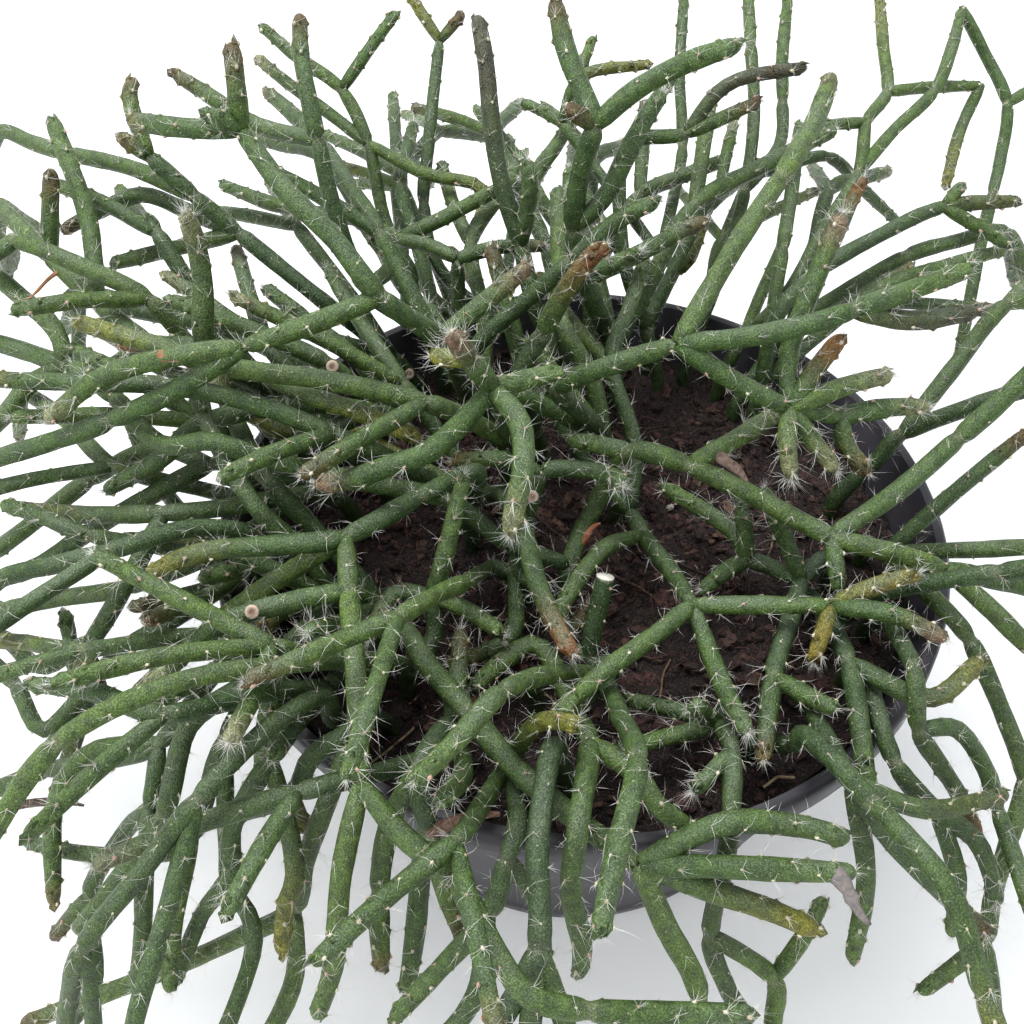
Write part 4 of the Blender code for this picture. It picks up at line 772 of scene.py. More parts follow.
def buildSkeleton():
    # all shoots, in the order that the solids number them
    rng = random.Random(growth["seed"])
    skeleton = Skeleton()
    stands = spreadRoots()
    for name, spec in shoots.items():
        traceShoot(skeleton, name, spec, stands, rng)
    for number, stand in enumerate(stands):
        growShoot(skeleton, f"shoot_{len(shoots) + number + 1:02d}", stand, rng)
    skeleton.markJoints()
    return skeleton


def nearestOnSpans(p, d, q, e):
    # where two straight spans from p along d and from q along e come nearest
    a, c, b = (d * d).sum(1) + 1e-12, (e * e).sum(1) + 1e-12, (d * e).sum(1)
    r = p - q
    f, g = (e * r).sum(1), (d * r).sum(1)
    s = np.clip((b * f - c * g) / np.maximum(a * c - b * b, 1e-14), 0, 1)
    t = np.clip((b * s + f) / c, 0, 1)
    s = np.clip((b * t - g) / a, 0, 1)
    return s, t


def overRim(low, high):
    # which spans pass over the pot's rim
    near = np.hypot(low[:, 0], low[:, 1])
    far = np.hypot(high[:, 0], high[:, 1])
    rim = potSize["rimRadius"]
    return (np.minimum(near, far) < rim) & (np.maximum(near, far) > rim - potSize["lipOut"] * 2)


def potPush(place, radius, crosses):
    # how far places must move to be clear of the wall, the rim, the medium and the floor
    around = np.hypot(place[:, 0], place[:, 1]) + 1e-9
    low = np.array([potSize["baseRadius"] - potSize["wall"] / 2, 0.0])
    high = np.array([potSize["rimRadius"] - potSize["lipOut"], potSize["height"] - potSize["lipOut"]])
    wall = high - low
    here = np.stack([around, place[:, 2]], 1)
    t = np.clip(((here - low) @ wall) / (wall @ wall), 0, 1)
    away = here - (low + t[:, None] * wall)
    size = np.hypot(away[:, 0], away[:, 1]) + 1e-9
    short = np.maximum(radius + 2 * potSize["lipOut"] + stemSize["clearance"] - size, 0)
    push = np.zeros_like(place)
    push[:, 0] = away[:, 0] / size * short * place[:, 0] / around
    push[:, 1] = away[:, 0] / size * short * place[:, 1] / around
    push[:, 2] = away[:, 1] / size * short
    atRim = crosses & (np.abs(around - potSize["rimRadius"]) < stemSize["rimReach"])
    push[atRim] = 0
    overRimTop = potSize["height"] + radius + stemSize["clearance"]
    inside = around < potSize["rimRadius"] - 2 * potSize["lipOut"]
    overSoil = soilSize["top"] + soilSize["relief"] + radius + stemSize["clearance"]
    overFloor = stemSize["floorClearance"] + radius
    aboveSoil = inside & (place[:, 2] > soilSize["top"] / 2)
    for here, lowest in ((atRim, overRimTop), (aboveSoil, overSoil), (~inside, overFloor)):
        push[:, 2] += np.where(here, np.maximum(lowest - place[:, 2], 0), 0)
    return push


def easeApart(skeleton):
    # moves the points a little at a time until no two stems overlap; returns how many places still do
    start = np.array(skeleton.points)
    held = np.array(skeleton.held)
    spans, radii = [], []
    for stem in skeleton.stems:
        for a, b in zip(stem["run"], stem["run"][1:]):
            spans.append((a, b))
            radii.append(stem["radius"])
    spans, radii = np.array(spans), np.array(radii)
    below = held[spans[:, 0]] & held[spans[:, 1]]
    give = np.array(skeleton.give)[spans].mean(1)
    degree = np.bincount(spans.ravel(), minlength=len(start)).astype(float)
    first, second = np.triu_indices(len(spans), 1)
    shared = (spans[first][:, :, None] == spans[second][:, None, :]).any((1, 2))
    first, second = first[~shared], second[~shared]
    place, left = start.copy(), 0
    for step in range(easing["steps"] + easing["settleSteps"]):
        settle = step >= easing["steps"]
        if step % easing["lookEvery"] == 0:
            middle = place[spans].mean(1)
            half = np.linalg.norm(place[spans[:, 1]] - place[spans[:, 0]], axis=1) / 2
            gap = np.abs(middle[first] - middle[second])
            reach = half[first] + half[second] + easing["lookReach"]
            near = (gap < reach[:, None]).all(1)
            one, two = first[near], second[near]
        p, q = place[spans[one, 0]], place[spans[two, 0]]
        d, e = place[spans[one, 1]] - p, place[spans[two, 1]] - q
        s, t = nearestOnSpans(p, d, q, e)
        away = p + s[:, None] * d - q - t[:, None] * e
        size = np.linalg.norm(away, axis=1)
        need = radii[one] + radii[two] + stemSize["clearance"]
        close = size < need
        left = int((size < need - easing["leftShort"]).sum())
        push = np.zeros_like(place)
        many = np.zeros(len(place))
        unit = away[close] / np.maximum(size[close], 1e-6)[:, None]
        amount = (need[close] - size[close])[:, None] * unit * easing["push"]
        oneGives = give[one[close]]
        twoGives = give[two[close]]
        partOne = (oneGives / (oneGives + twoGives))[:, None]
        for ends, share, amountHere in (
            (spans[one[close]], s[close], amount * partOne),
            (spans[two[close]], t[close], amount * (partOne - 1)),
        ):
            weight = (1 - share) ** 2 + share ** 2
            for column, part in ((0, 1 - share), (1, share)):
                np.add.at(push, ends[:, column], amountHere * (part / weight)[:, None])
                np.add.at(many, ends[:, column], (part > 0.2) * 1.0)
        place = place + push / np.maximum(many, 1)[:, None] * easing["step"]
        crosses = overRim(place[spans[:, 0]], place[spans[:, 1]])
        for share in easing["samples"]:
            at = place[spans[:, 0]] * (1 - share) + place[spans[:, 1]] * share
            clear = potPush(at, radii, crosses)
            clear[below] = 0
            weight = (1 - share) ** 2 + share ** 2
            np.add.at(place, spans[:, 0], clear * (0.5 * (1 - share) / weight))
            np.add.at(place, spans[:, 1], clear * (0.5 * share / weight))
        moved = place - start
        if not settle:
            sharedMove = np.zeros_like(moved)
            np.add.at(sharedMove, spans[:, 0], moved[spans[:, 1]])
            np.add.at(sharedMove, spans[:, 1], moved[spans[:, 0]])
            share = easing["sharedMove"] * (sharedMove / degree[:, None] - moved)
            moved += share * (1 - step / easing["steps"])
        moved[held] = 0
        place = start + moved
    skeleton.points = [tuple(p) for p in place]
    return left


def hexToLinear(code):
    # sRGB hex to linear colour
    parts = [int(code[i:i + 2], 16) / 255 for i in (1, 3, 5)]
    return tuple(p / 12.92 if p <= 0.04045 else ((p + 0.055) / 1.055) ** 2.4 for p in parts)


def tonesOf(codes):
    return np.array([hexToLinear(code) for code in codes])


def addNode(tree, kind, settings=None, links=None):
    # adds a node, sets its options and inputs, and links its inputs to (node, output) pairs
    node = tree.nodes.new(kind)
    for name, value in (settings or {}).items():
        if isinstance(name, str) and hasattr(node, name):
            setattr(node, name, value)
        else:
            node.inputs[name].default_value = value
    for name, (source, output) in (links or {}).items():
        tree.links.new(source.outputs[output], node.inputs[name])
    return node


def startMaterial(name):
    material = bpy.data.materials.new(name)
    material.use_nodes = True
    tree = material.node_tree
    shader = tree.nodes["Principled BSDF"]
    return material, tree, shader


def mixColours(tree, share, first, second, mode="MIX"):
    # share, first and second are numbers, colours or (node, output) pairs
    node = addNode(tree, "ShaderNodeMix", {"data_type": "RGBA", "blend_type": mode})
    for index, value in ((0, share), (6, first), (7, second)):
        if isinstance(value, tuple) and hasattr(value[0], "outputs"):
            tree.links.new(value[0].outputs[value[1]], node.inputs[index])
        elif index == 0:
            node.inputs[index].default_value = value
        else:
            node.inputs[index].default_value = (*value[:3], 1)
    return node, 2


def ramp(tree, source, stops):
    # stops are two (position, grey value) pairs
    node = addNode(tree, "ShaderNodeValToRGB", links={0: source})
    for element, (position, grey) in zip(node.color_ramp.elements, stops):
        element.position = position
        element.color = (grey, grey, grey, 1)
    return node, 0


def tinge(tree, source, stops, under, code, mode="MIX"):
    # a colour over another where a pattern is, as the stops of its ramp say
    return mixColours(tree, ramp(tree, (source, 0), stops), under, hexToLinear(code), mode)


def pattern(tree, place, scale, detail=None):
    # clouds, or cells where no detail is given; scale is how many go into a metre
    settings = {"Scale": scale} if detail is None else {"Scale": scale, "Detail": detail}
    kind = "ShaderNodeTexVoronoi" if detail is None else "ShaderNodeTexNoise"
    return addNode(tree, kind, settings, {"Vector": (place, "Object")})


def relief(tree, height, strength, deep, under=None):
    # a bump from a pattern, on top of the one under it
    links = {"Height": (height, 0)}
    if under:
        links["Normal"] = (under, 0)
    return addNode(tree, "ShaderNodeBump", {"Strength": strength, "Distance": deep}, links)


def plug(tree, shader, **sources):
    # links (node, output) pairs to the shader's inputs, which are named with _ for a space
    for name, (node, output) in sources.items():
        tree.links.new(node.outputs[output], shader.inputs[name.replace("_", " ")])


def putPiece(name, mesh, material):
    # every visible piece rides the plant's one body
    mesh.materials.append(material)
    piece = bpy.data.objects.new(name, mesh)
    bpy.context.scene.collection.objects.link(piece)
    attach(piece, "root")
    return piece


def startForm():
    form = bmesh.new()
    return form, form.verts.layers.float_color.new("tint")


def finishPiece(name, form, material):
    # a piece with its own form, its faces turned outwards and smooth
    bmesh.ops.recalc_face_normals(form, faces=form.faces)
    mesh = bpy.data.meshes.new(name)
    form.to_mesh(mesh)
    form.free()
    mesh.polygons.foreach_set("use_smooth", [True] * len(mesh.polygons))
    return putPiece(name, mesh, material)


def spreadCopies(name, template, places, sides, ups, alongs, bends, tints, material, smooth=True):
    # copies one small form to many places; its z axis runs along alongs, and bends push it over
    bends = np.zeros((len(places), 3)) if bends is None else bends
    bmesh.ops.triangulate(template, faces=template.faces)
    template.verts.index_update()
    shape = np.array([v.co for v in template.verts])
    corners = np.array([[v.index for v in f.verts] for f in template.faces])
    template.free()
    x, y, z = shape[:, 0], shape[:, 1], shape[:, 2]
    points = (places[:, None] + x[None, :, None] * sides[:, None] + y[None, :, None] * ups[:, None]
              + z[None, :, None] * alongs[:, None] + (z * z)[None, :, None] * bends[:, None])
    count = len(places)
    faces = (corners[None] + (np.arange(count) * len(shape))[:, None, None]).reshape(-1, 3)
    mesh = bpy.data.meshes.new(name)
    mesh.vertices.add(count * len(shape))
    mesh.vertices.foreach_set("co", points.astype(np.float32).ravel())
    mesh.loops.add(faces.size)
    mesh.loops.foreach_set("vertex_index", faces.astype(np.int32).ravel())
    mesh.polygons.add(len(faces))
    mesh.polygons.foreach_set("loop_start", np.arange(0, faces.size, 3, dtype=np.int32))
    mesh.polygons.foreach_set("use_smooth", np.full(len(faces), smooth))
    tint = mesh.color_attributes.new("tint", "FLOAT_COLOR", "POINT")
    colours = np.ones((count, len(shape), 4), np.float32)
    colours[:, :, :3] = tints[:, None]
    tint.data.foreach_set("color", colours.ravel())
    mesh.update(calc_edges=True)
    mesh.validate()
    putPiece(name, mesh, material)


def unitRows(rows):
    return rows / np.maximum(np.linalg.norm(rows, axis=1), 1e-9)[:, None]


def rowsAt(where, along, rows):
    # rows between those given at distances along a stem
    return np.stack([np.interp(where, along, rows[:, k]) for k in range(3)], 1)


def acrossOf(rows):
    # two unit directions across each row, for placing copies
    helper = np.where(np.abs(rows[:, 2:3]) < 0.8, (0.0, 0.0, 1.0), (1.0, 0.0, 0.0))
    first = unitRows(np.cross(rows, helper))
    return first, np.cross(rows, first)


stemLook = {
    "sides": 9,
    "slim": 0.90,  # share of the solid's radius, whose few sides are drawn wide
    "ringEvery": 0.0030,
    "waist": 0.24,  # how much a joint is drawn in
    "waistReach": 0.0013,
    "swell": 0.05,  # stems swell a little past a joint
    "old": ("#33492b", "#2f442d", "#3a5331", "#364d30", "#3f5530"),
    "young": ("#647f3a", "#728c3f", "#5f7b3c", "#567434"),
    "cork": "#9d9a84",
    "wobble": 0.03,
    "curveSteps": 8,
    "tangentReach": 0.0006,
    "foot": (0.28, 0.0022),  # how much a fork's foot is drawn in, and how far along
    "taper": (0.16, 0.012),
    "tipLong": 1.5,  # length of the rounded tip, in radii
    "tipRings": (0, 0.35, 0.7, 1.0, 1.25, 1.45),  # angles round the tip
    "jointRings": (-0.0022, -0.0012, -0.0005, 0, 0.0005, 0.0012, 0.0022),
    "cutRings": (0.0012, 0.0008, 0.0004, 0),
    "ringsApart": 0.00018,  # no two rings are nearer
    "corkReach": 0.0009,
}

# what the ends of some stems look like: colour, how far back it reaches in metres, and how hairy
tipKinds = {
    "plain": ("#66823f", 0.012, 1.2),
    "tan": ("#9a7a4a", 0.008, 1.2),
    "brown": ("#7a5337", 0.012, 1.2),
    "pink": ("#b08472", 0.012, 2.4),
    "cream": ("#bdb58c", 0.012, 2.8),
    "orange": ("#b3672c", 0.015, 1.0),
    "rust": ("#9c552e", 0.022, 1.2),
    "yellow": ("#a59b38", 0.028, 1.2),
    "ochre": ("#a58d34", 0.034, 1.8),
    "light": ("#748f48", 0.030, 1.4),
    "hairy": ("#6c8650", 0.020, 2.8),
    "violet": ("#56413d", 0.050, 0.8),
    "olive": ("#6d6a34", 0.030, 1.0),
    "salmon": ("#c0693f", 0.017, 1.5),
    "cut": ("#ece6da", 0.0008, 0.0),
}

endChoice = ("plain", "plain", "plain", "tan", "light", "light", "hairy", "cream", "yellow", "brown")


def readTips(skeleton):
    # the kind of end for each named point that has one
    found = {}
    for shoot, spec in shoots.items():
        for joint, kind in entriesOf(spec["tips"]) if "tips" in spec else ():
            found[skeleton.named[shoot + "." + joint]] = kind
    return found


def stemCurve(skeleton, stem):
    # a smooth curve through a stem's points: its places, the distance along it and where its joints are
    fine, given = smoothRun([skeleton.points[i] for i in stem["run"]], stemLook["curveSteps"])
    fine, marks = np.array(fine), dict(zip(stem["run"], given))
    along = np.concatenate([[0], np.cumsum(np.linalg.norm(np.diff(fine, axis=0), axis=1))])
    return fine, along, sorted(along[marks[i]] for i in stem["joints"])


def curveAt(fine, along, where):
    # places on a stem, and its direction there
    reach = stemLook["tangentReach"]
    ahead, behind = (rowsAt(where + far, along, fine) for far in (reach, -reach))
    return rowsAt(where, along, fine), unitRows(ahead - behind)


def radiusAt(stem, where, length, joints, phase):
    # the stem's radius along its length: joints drawn in, a rounded end, and a slight wobble
    wide = stemSize["radius"] * stem["thick"] * stemLook["slim"]
    factor = 1 + stemLook["wobble"] * (np.sin(where * 310 + phase) + 0.6 * np.sin(where * 790 + 2 * phase))
    for joint in joints:
        if joint > length - 0.002:
            continue
        near = (where - joint) / stemLook["waistReach"]
        factor = factor - stemLook["waist"] * np.exp(-near * near)
        factor = factor + stemLook["swell"] * np.exp(-((where - joint - 0.007) / 0.004) ** 2)
    if not stem["rooted"]:
        narrow, reach = stemLook["foot"]
        factor = factor * (1 - narrow * np.exp(-where / reach))
    if stem["cut"]:
        return wide * factor
    tip = wide * stemLook["tipLong"]
    end = np.clip((where - (length - tip)) / tip, 0, 1)
    narrow, reach = stemLook["taper"]
    factor = factor * (1 - narrow * np.clip((where - length + reach) / reach, 0, 1))
    return wide * factor * np.sqrt(np.maximum(1 - end ** 2.4, 0.0))


def ringPlaces(length, joints, wide, cut):
    # where a stem has its rings: closer at joints and round the tip
    tip = wide * stemLook["tipLong"]
    where = list(np.arange(0, length - tip, stemLook["ringEvery"]))
    for joint in joints:
        where += [joint + offset for offset in stemLook["jointRings"]]
    if cut:
        where += [length - back for back in stemLook["cutRings"]]
    else:
        where += [length - tip * (1 - math.sin(a)) for a in stemLook["tipRings"]]
    where = np.unique(np.clip(where, 0, length if cut else length - wide * 0.01))
    keep = [where[0]]
    for w in where[1:]:
        if w - keep[-1] > stemLook["ringsApart"]:
            keep.append(w)
    return np.array(keep)


def startRing(form, sides):
    ring = bmesh.ops.create_circle(form, cap_ends=False, segments=sides, radius=1.0)["verts"]
    return ring, list({edge for v in ring for edge in v.link_edges})


def extrudeRing(form, edges):
    # the next ring's points and edges
    made = bmesh.ops.extrude_edge_only(form, edges=edges)["geom"]
    fresh = {g for g in made if isinstance(g, bmesh.types.BMVert)}
    edges = [g for g in made if isinstance(g, bmesh.types.BMEdge) and g.verts[0] in fresh and g.verts[1] in fresh]
    return fresh, edges


def growTube(form, layer, places, tangents, radii, colours, sides):
    # extrudes a ring along the places and closes both ends
    ring, edges = startRing(form, sides)
    order = [ring[0]]
    while len(order) < sides:
        options = [e.other_vert(order[-1]) for e in order[-1].link_edges]
        order.append(next(v for v in options if v not in order))
    across = Vector(tangents[0]).orthogonal().normalized()
    angles = [2 * math.pi * k / sides for k in range(sides)]
    start = list(order)
    for number, (centre, tangent, radius, colour) in enumerate(zip(places, tangents, radii, colours)):
        tangent = Vector(tangent)
        across = (across - tangent * across.dot(tangent)).normalized()
        up = tangent.cross(across)
        if number:
            fresh, edges = extrudeRing(form, edges)
            order = [next(e.other_vert(v) for e in v.link_edges if e.other_vert(v) in fresh) for v in order]
        centre = Vector(centre)
        for v, angle in zip(order, angles):
            v.co = centre + (across * math.cos(angle) + up * math.sin(angle)) * radius
            v[layer] = colour
    for loop, colour in ((start, colours[0]), (order, colours[-1])):
        cap = bmesh.ops.contextual_create(form, geom=loop)["faces"]
        for v in bmesh.ops.poke(form, faces=cap)["verts"]:
            v[layer] = colour


def colourAlong(where, length, joints, kinds, rng, order):
    # old stems are dark blue-green, young ends lighter, joints corky, some ends dry or coloured
    old = np.array(hexToLinear(rng.choice(stemLook["old"])))
    young = np.array(hexToLinear(rng.choice(stemLook["young"])))
    bounds = [0.0] + list(joints) + [length]
    shades = [min(max(0.10 + 0.20 * (order + k) + rng.uniform(-0.16, 0.16), 0), 1)
              for k in range(len(bounds))]
    index = np.clip(np.searchsorted(bounds, where, side="right") - 1, 0, len(bounds) - 1)
    inside = np.zeros(len(where))
    for k in range(len(bounds) - 1):
        here = index == k
        inside[here] = (where[here] - bounds[k]) / max(bounds[k + 1] - bounds[k], 1e-6)
    share = np.clip(np.array(shades)[index] + 0.12 * inside, 0, 1)
    colours = old + (young - old) * share[:, None]
    cork = np.array(hexToLinear(stemLook["cork"]))
    for joint in joints:
        near = np.exp(-((where - joint) / stemLook["corkReach"]) ** 2)[:, None] * 0.5
        colours = colours + (cork - colours) * near
    if kinds is None:
        return colours
    tipColour, reach, _ = kinds
    tip = np.array(hexToLinear(tipColour))
    near = np.clip((where - length + reach) / reach, 0, 1)
    near = (near * near * (3 - 2 * near))[:, None]
    return colours + (tip - colours) * near * 0.92


def makeStems(skeleton, material):
    # one piece for each shoot; also gathers where areoles and bristles go
    rng = random.Random(21)
    tips = readTips(skeleton)
    starts = {stem["run"][0] for stem in skeleton.stems}
    depth = {}
    spots = []
    for shoot in sorted({stem["shoot"] for stem in skeleton.stems}):
        form, layer = startForm()
        for stem in [s for s in skeleton.stems if s["shoot"] == shoot]:
            stem["rooted"] = skeleton.held[stem["run"][0]]
            fine, along, joints = stemCurve(skeleton, stem)
            length = along[-1]
            order = depth.get(stem["run"][0], 0)
            for k, point in enumerate(stem["run"]):
                depth[point] = order + sum(1 for j in stem["run"][1:k + 1] if j in stem["joints"]) + 1
            kind = tips.get(stem["run"][-1]) or rng.choice(endChoice)
            joined = stem["run"][-1] in starts
            kinds = None if joined else tipKinds[kind]
            stem["cut"] = kind == "cut"
            wide = stemSize["radius"] * stem["thick"] * stemLook["slim"]
            where = ringPlaces(length, joints, wide, stem["cut"])
            places, tangents = curveAt(fine, along, where)
            phase = rng.uniform(0, 6)
            radii = radiusAt(stem, where, length, joints, phase)
            colours = colourAlong(where, length, joints, kinds, rng, order)
            rows = [(*c, 1.0) for c in colours]
            growTube(form, layer, places, tangents, radii, rows, stemLook["sides"])
            spots.append(dict(stem=stem, fine=fine, along=along, joints=joints, length=length, phase=phase,
                              hairy=0.4 if joined else kinds[2], joined=joined, rings=where, colours=colours))
        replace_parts(finishPiece("stems_" + shoot[-2:], form, material), shoot)
    return spots


areoleLook = {
    "every": 0.0013,  # one areole per this length of a young end, in a spiral
    "apart": 1.4,  # how much further apart they lie on old wood
    "turn": 2.40,  # radians from one areole to the next
    "wide": 0.00027,
    "tall": 0.00026,
    "stretch": 1.4,  # an areole is this much longer than wide
    "firstAt": (0.018, 0.004),  # where they start on a rooted stem and on a branch
    "oldFrom": 0.05,  # this far back from the end they are as far apart as they get
    "scatter": 0.0004,
    "youngLong": 0.035,
    "soft": 0.12,  # how young an areole must be to stand on a swelling
    "knobs": 4,
    "hump": (0.0012, 0.00075),  # half width and height of the swelling under a young areole
    "wool": ("#d3caa8", "#b9ae8e", "#ded6bd", "#a99d7c"),
    "rose": "#b98f7e",
}

bristleLook = {
    "perAreole": (2, 6),
    "turn": 1.25,  # spread of the bristles round their areole
    "liftLying": (0.12, 0.45),
    "liftStanding": (0.6, 2.0),
    "bend": 0.30,
    "curl": 0.4,
    "furryLong": 0.028,
    "forkLengths": (0.0022, 0.0048),
    "tipLengths": (0.0012, 0.0026, 0.0006),  # shortest, longest, and how much longer where it is hairy
    "fuzzLengths": (0.001, 0.0026),
    "furrier": (0.5, 3.0),  # how many more each areole near a hairy end has
    "lengths": (0.0014, 0.0042),
    "wide": 0.000037,
    "hairs": ("#f1f0e8", "#e3e1d6", "#fbfaf5"),
    "lying": 0.42,  # share of the bristles that lie along the skin
    "straight": 0.22,  # share of the others that are straight
    "tipTuft": 26,
    "forkTuft": 16,
    "jointFuzz": 9,
    "seed": 5,
}


def hairForm(levels):
    # a three-sided needle along z, closed at both ends
    form = bmesh.new()
    if levels == 0:
        bmesh.ops.create_cone(form, cap_ends=True, segments=3, radius1=1, radius2=0, depth=1)
        bmesh.ops.translate(form, verts=form.verts, vec=(0, 0, 0.5))
        return form
    bmesh.ops.create_circle(form, cap_ends=True, segments=3, radius=1.0)
    bmesh.ops.reverse_faces(form, faces=form.faces)
    top = list(form.faces)
    for level in range(levels):
        made = bmesh.ops.extrude_face_region(form, geom=top, use_keep_orig=level == 0)["geom"]
        top = [g for g in made if isinstance(g, bmesh.types.BMFace)]
        moved = [g for g in made if isinstance(g, bmesh.types.BMVert)]
        bmesh.ops.translate(form, verts=moved, vec=(0, 0, 1 / (levels + 1)))
        bmesh.ops.scale(form, verts=moved, vec=(0.8, 0.8, 1.0))
    tip = bmesh.ops.poke(form, faces=top)["verts"]
    bmesh.ops.translate(form, verts=tip, vec=(0, 0, 1 / (levels + 1)))
    bmesh.ops.recalc_face_normals(form, faces=form.faces)
    return form


def makeAreolesAndBristles(spots, skinMaterial, woolMaterial, bristleMaterial):
    # areoles in a spiral up each stem with bristles on them, swellings under the young ones, and tufts
    rng = np.random.default_rng(bristleLook["seed"])
    wool = tonesOf(areoleLook["wool"])
    rose = np.array(hexToLinear(areoleLook["rose"]))
    hairs = tonesOf(bristleLook["hairs"])
    bumps, humps = ({key: [] for key in ("place", "out", "along", "size", "tint")} for _ in range(2))
    lying, standing, straight = ({key: [] for key in ("place", "way", "size", "bend")} for _ in range(3))

    def gather(kind, *values):
        for rows, value in zip(kind.values(), values):
            rows.append(value)

    def addTuft(at, ahead, count, lengths, spread):
        # hairs that spread from one place
        way = unitRows(ahead + rng.normal(0, spread, (count, 3)))
        longer = rng.uniform(*lengths, count)
        curl = rng.normal(0, 1, (count, 3)) * (longer * bristleLook["curl"])[:, None]
        half = count // 2
        start = np.repeat(at, count, 0) - way * 0.0002
        gather(standing, start[:half], way[:half], longer[:half], curl[:half])
        gather(straight, start[half:], way[half:], longer[half:], curl[half:])

    for spot in spots:
        stem, length, hairy = spot["stem"], spot["length"], spot["hairy"]
        where, at = [], areoleLook["firstAt"][0 if stem["rooted"] else 1]
        while at < length - 0.0006:
            where.append(at)
            at += areoleLook["every"] * (1 + areoleLook["apart"] * min(1, (length - at) / areoleLook["oldFrom"]))
        if not where:
            continue
        where = np.array(where) + rng.uniform(-areoleLook["scatter"], areoleLook["scatter"], len(where))
        places, tangents = curveAt(spot["fine"], spot["along"], where)
        radii = radiusAt(stem, where, length, spot["joints"], spot["phase"])
        one, two = acrossOf(tangents)
        angles = rng.uniform(0, 6) + areoleLook["turn"] * np.arange(len(where))
        angles = angles + rng.uniform(-0.25, 0.25, len(where))
        out = one * np.cos(angles)[:, None] + two * np.sin(angles)[:, None]
        side = np.cross(tangents, out)
        reach = areoleLook["youngLong"]
        young = np.clip((where - length + reach) / reach, 0, 1) * min(1, 0.3 + hairy)
        raised = areoleLook["hump"][1] * 0.5 * young
        at = places + out * (radii * 0.97 + raised)[:, None]
        size = rng.uniform(0.7, 1.25, len(where)) * (0.75 + 0.5 * young)
        tint = wool[rng.integers(0, len(wool), len(where))]
        rosy = (rng.random(len(where)) < 0.08 + 0.16 * young)[:, None]
        tint = np.where(rosy, rose, tint) * rng.uniform(0.75, 1.1, len(where))[:, None]
        gather(bumps, at, out, tangents, size, tint)
        soft = young > areoleLook["soft"]
        skin = rowsAt(where, spot["rings"], spot["colours"])
        gather(humps, (places + out * (radii - areoleLook["hump"][1] * 0.45)[:, None])[soft], out[soft],
               tangents[soft], (0.55 + 0.45 * young)[soft], skin[soft])
        low, high = bristleLook["perAreole"]
        reach = bristleLook["furryLong"]
        furry = np.clip((where - length + reach) / reach, 0, 1) * hairy
        count = rng.integers(low, high + 1, len(where))
        count = count + (furry * rng.uniform(*bristleLook["furrier"], len(where))).astype(int)
        pick = np.repeat(np.arange(len(where)), count)
        total = len(pick)
        turn = rng.normal(0, bristleLook["turn"], total)
        flat = tangents[pick] * np.cos(turn)[:, None] + side[pick] * np.sin(turn)[:, None]
        down = rng.random(total) < bristleLook["lying"]
        lift = [rng.uniform(*bristleLook[key], total) for key in ("liftLying", "liftStanding")]
        lift = np.where(down, *lift)
        way = unitRows(flat + out[pick] * lift[:, None])
        longer = rng.uniform(*bristleLook["lengths"], total) * (1 + 0.2 * np.minimum(furry[pick], 2))
        # a lying bristle follows the skin round, a standing one droops a little
        fall = np.where(down, longer ** 2 * np.sin(turn) ** 2 / (2 * radii[pick]) * 0.8 + longer * 0.08,
                        longer * rng.uniform(0, 0.3, total))
        bend = rng.normal(0, bristleLook["bend"], (total, 3)) * longer[:, None] - out[pick] * fall[:, None]
        stiff = ~down & (rng.random(total) < bristleLook["straight"])
        for kind, these in ((lying, down), (standing, ~down & ~stiff), (straight, stiff)):
            gather(kind, at[pick][these], way[these], longer[these], bend[these])
        # the tuft on the end of the stem, the fuzz at its forks and round each joint
        end, ahead = curveAt(spot["fine"], spot["along"], np.array([length - 0.0005]))
        if spot["joined"]:
            addTuft(end + ahead * 0.0006, ahead * 0.4, bristleLook["forkTuft"], bristleLook["forkLengths"], 0.8)
        elif not stem["cut"]:
            tuft = int(bristleLook["tipTuft"] * (0.4 + 0.8 * hairy))
            short, long, more = bristleLook["tipLengths"]
            addTuft(end, ahead, tuft, (short, long + more * hairy), 0.55)
            knobs = areoleLook["knobs"]
            way = unitRows(ahead + rng.normal(0, 0.5, (knobs, 3)))
            radius = radiusAt(stem, np.array([length - 0.0012]), length, spot["joints"], spot["phase"])[0]
            gather(bumps, end - ahead * 0.0009 + way * radius * 0.75, way, np.repeat(ahead, knobs, 0),
                   rng.uniform(0.9, 1.6, knobs), wool[rng.integers(0, len(wool), knobs)])
        for joint in spot["joints"]:
            if joint > length - 0.003:
                continue
            fuzz = bristleLook["jointFuzz"]
            centre, ahead = curveAt(spot["fine"], spot["along"], np.array([joint + 0.0004]))
            one, two = acrossOf(ahead)
            angles = rng.uniform(0, 6.28, fuzz)
            out = one * np.cos(angles)[:, None] + two * np.sin(angles)[:, None]
            radius = radiusAt(stem, np.array([joint]), length, spot["joints"], spot["phase"])[0]
            way = unitRows(out + ahead * rng.uniform(-0.2, 0.9, fuzz)[:, None] + rng.normal(0, 0.3, (fuzz, 3)))
            longer = rng.uniform(*bristleLook["fuzzLengths"], fuzz)
            gather(standing, centre + out * radius * 0.95, way, longer,
                   rng.normal(0, 1, (fuzz, 3)) * (longer * 0.3)[:, None])
            gather(bumps, (centre + out * radius * 0.9)[:4], out[:4], np.repeat(ahead, 4, 0),
                   rng.uniform(0.7, 1.3, 4), wool[rng.integers(0, len(wool), 4)])

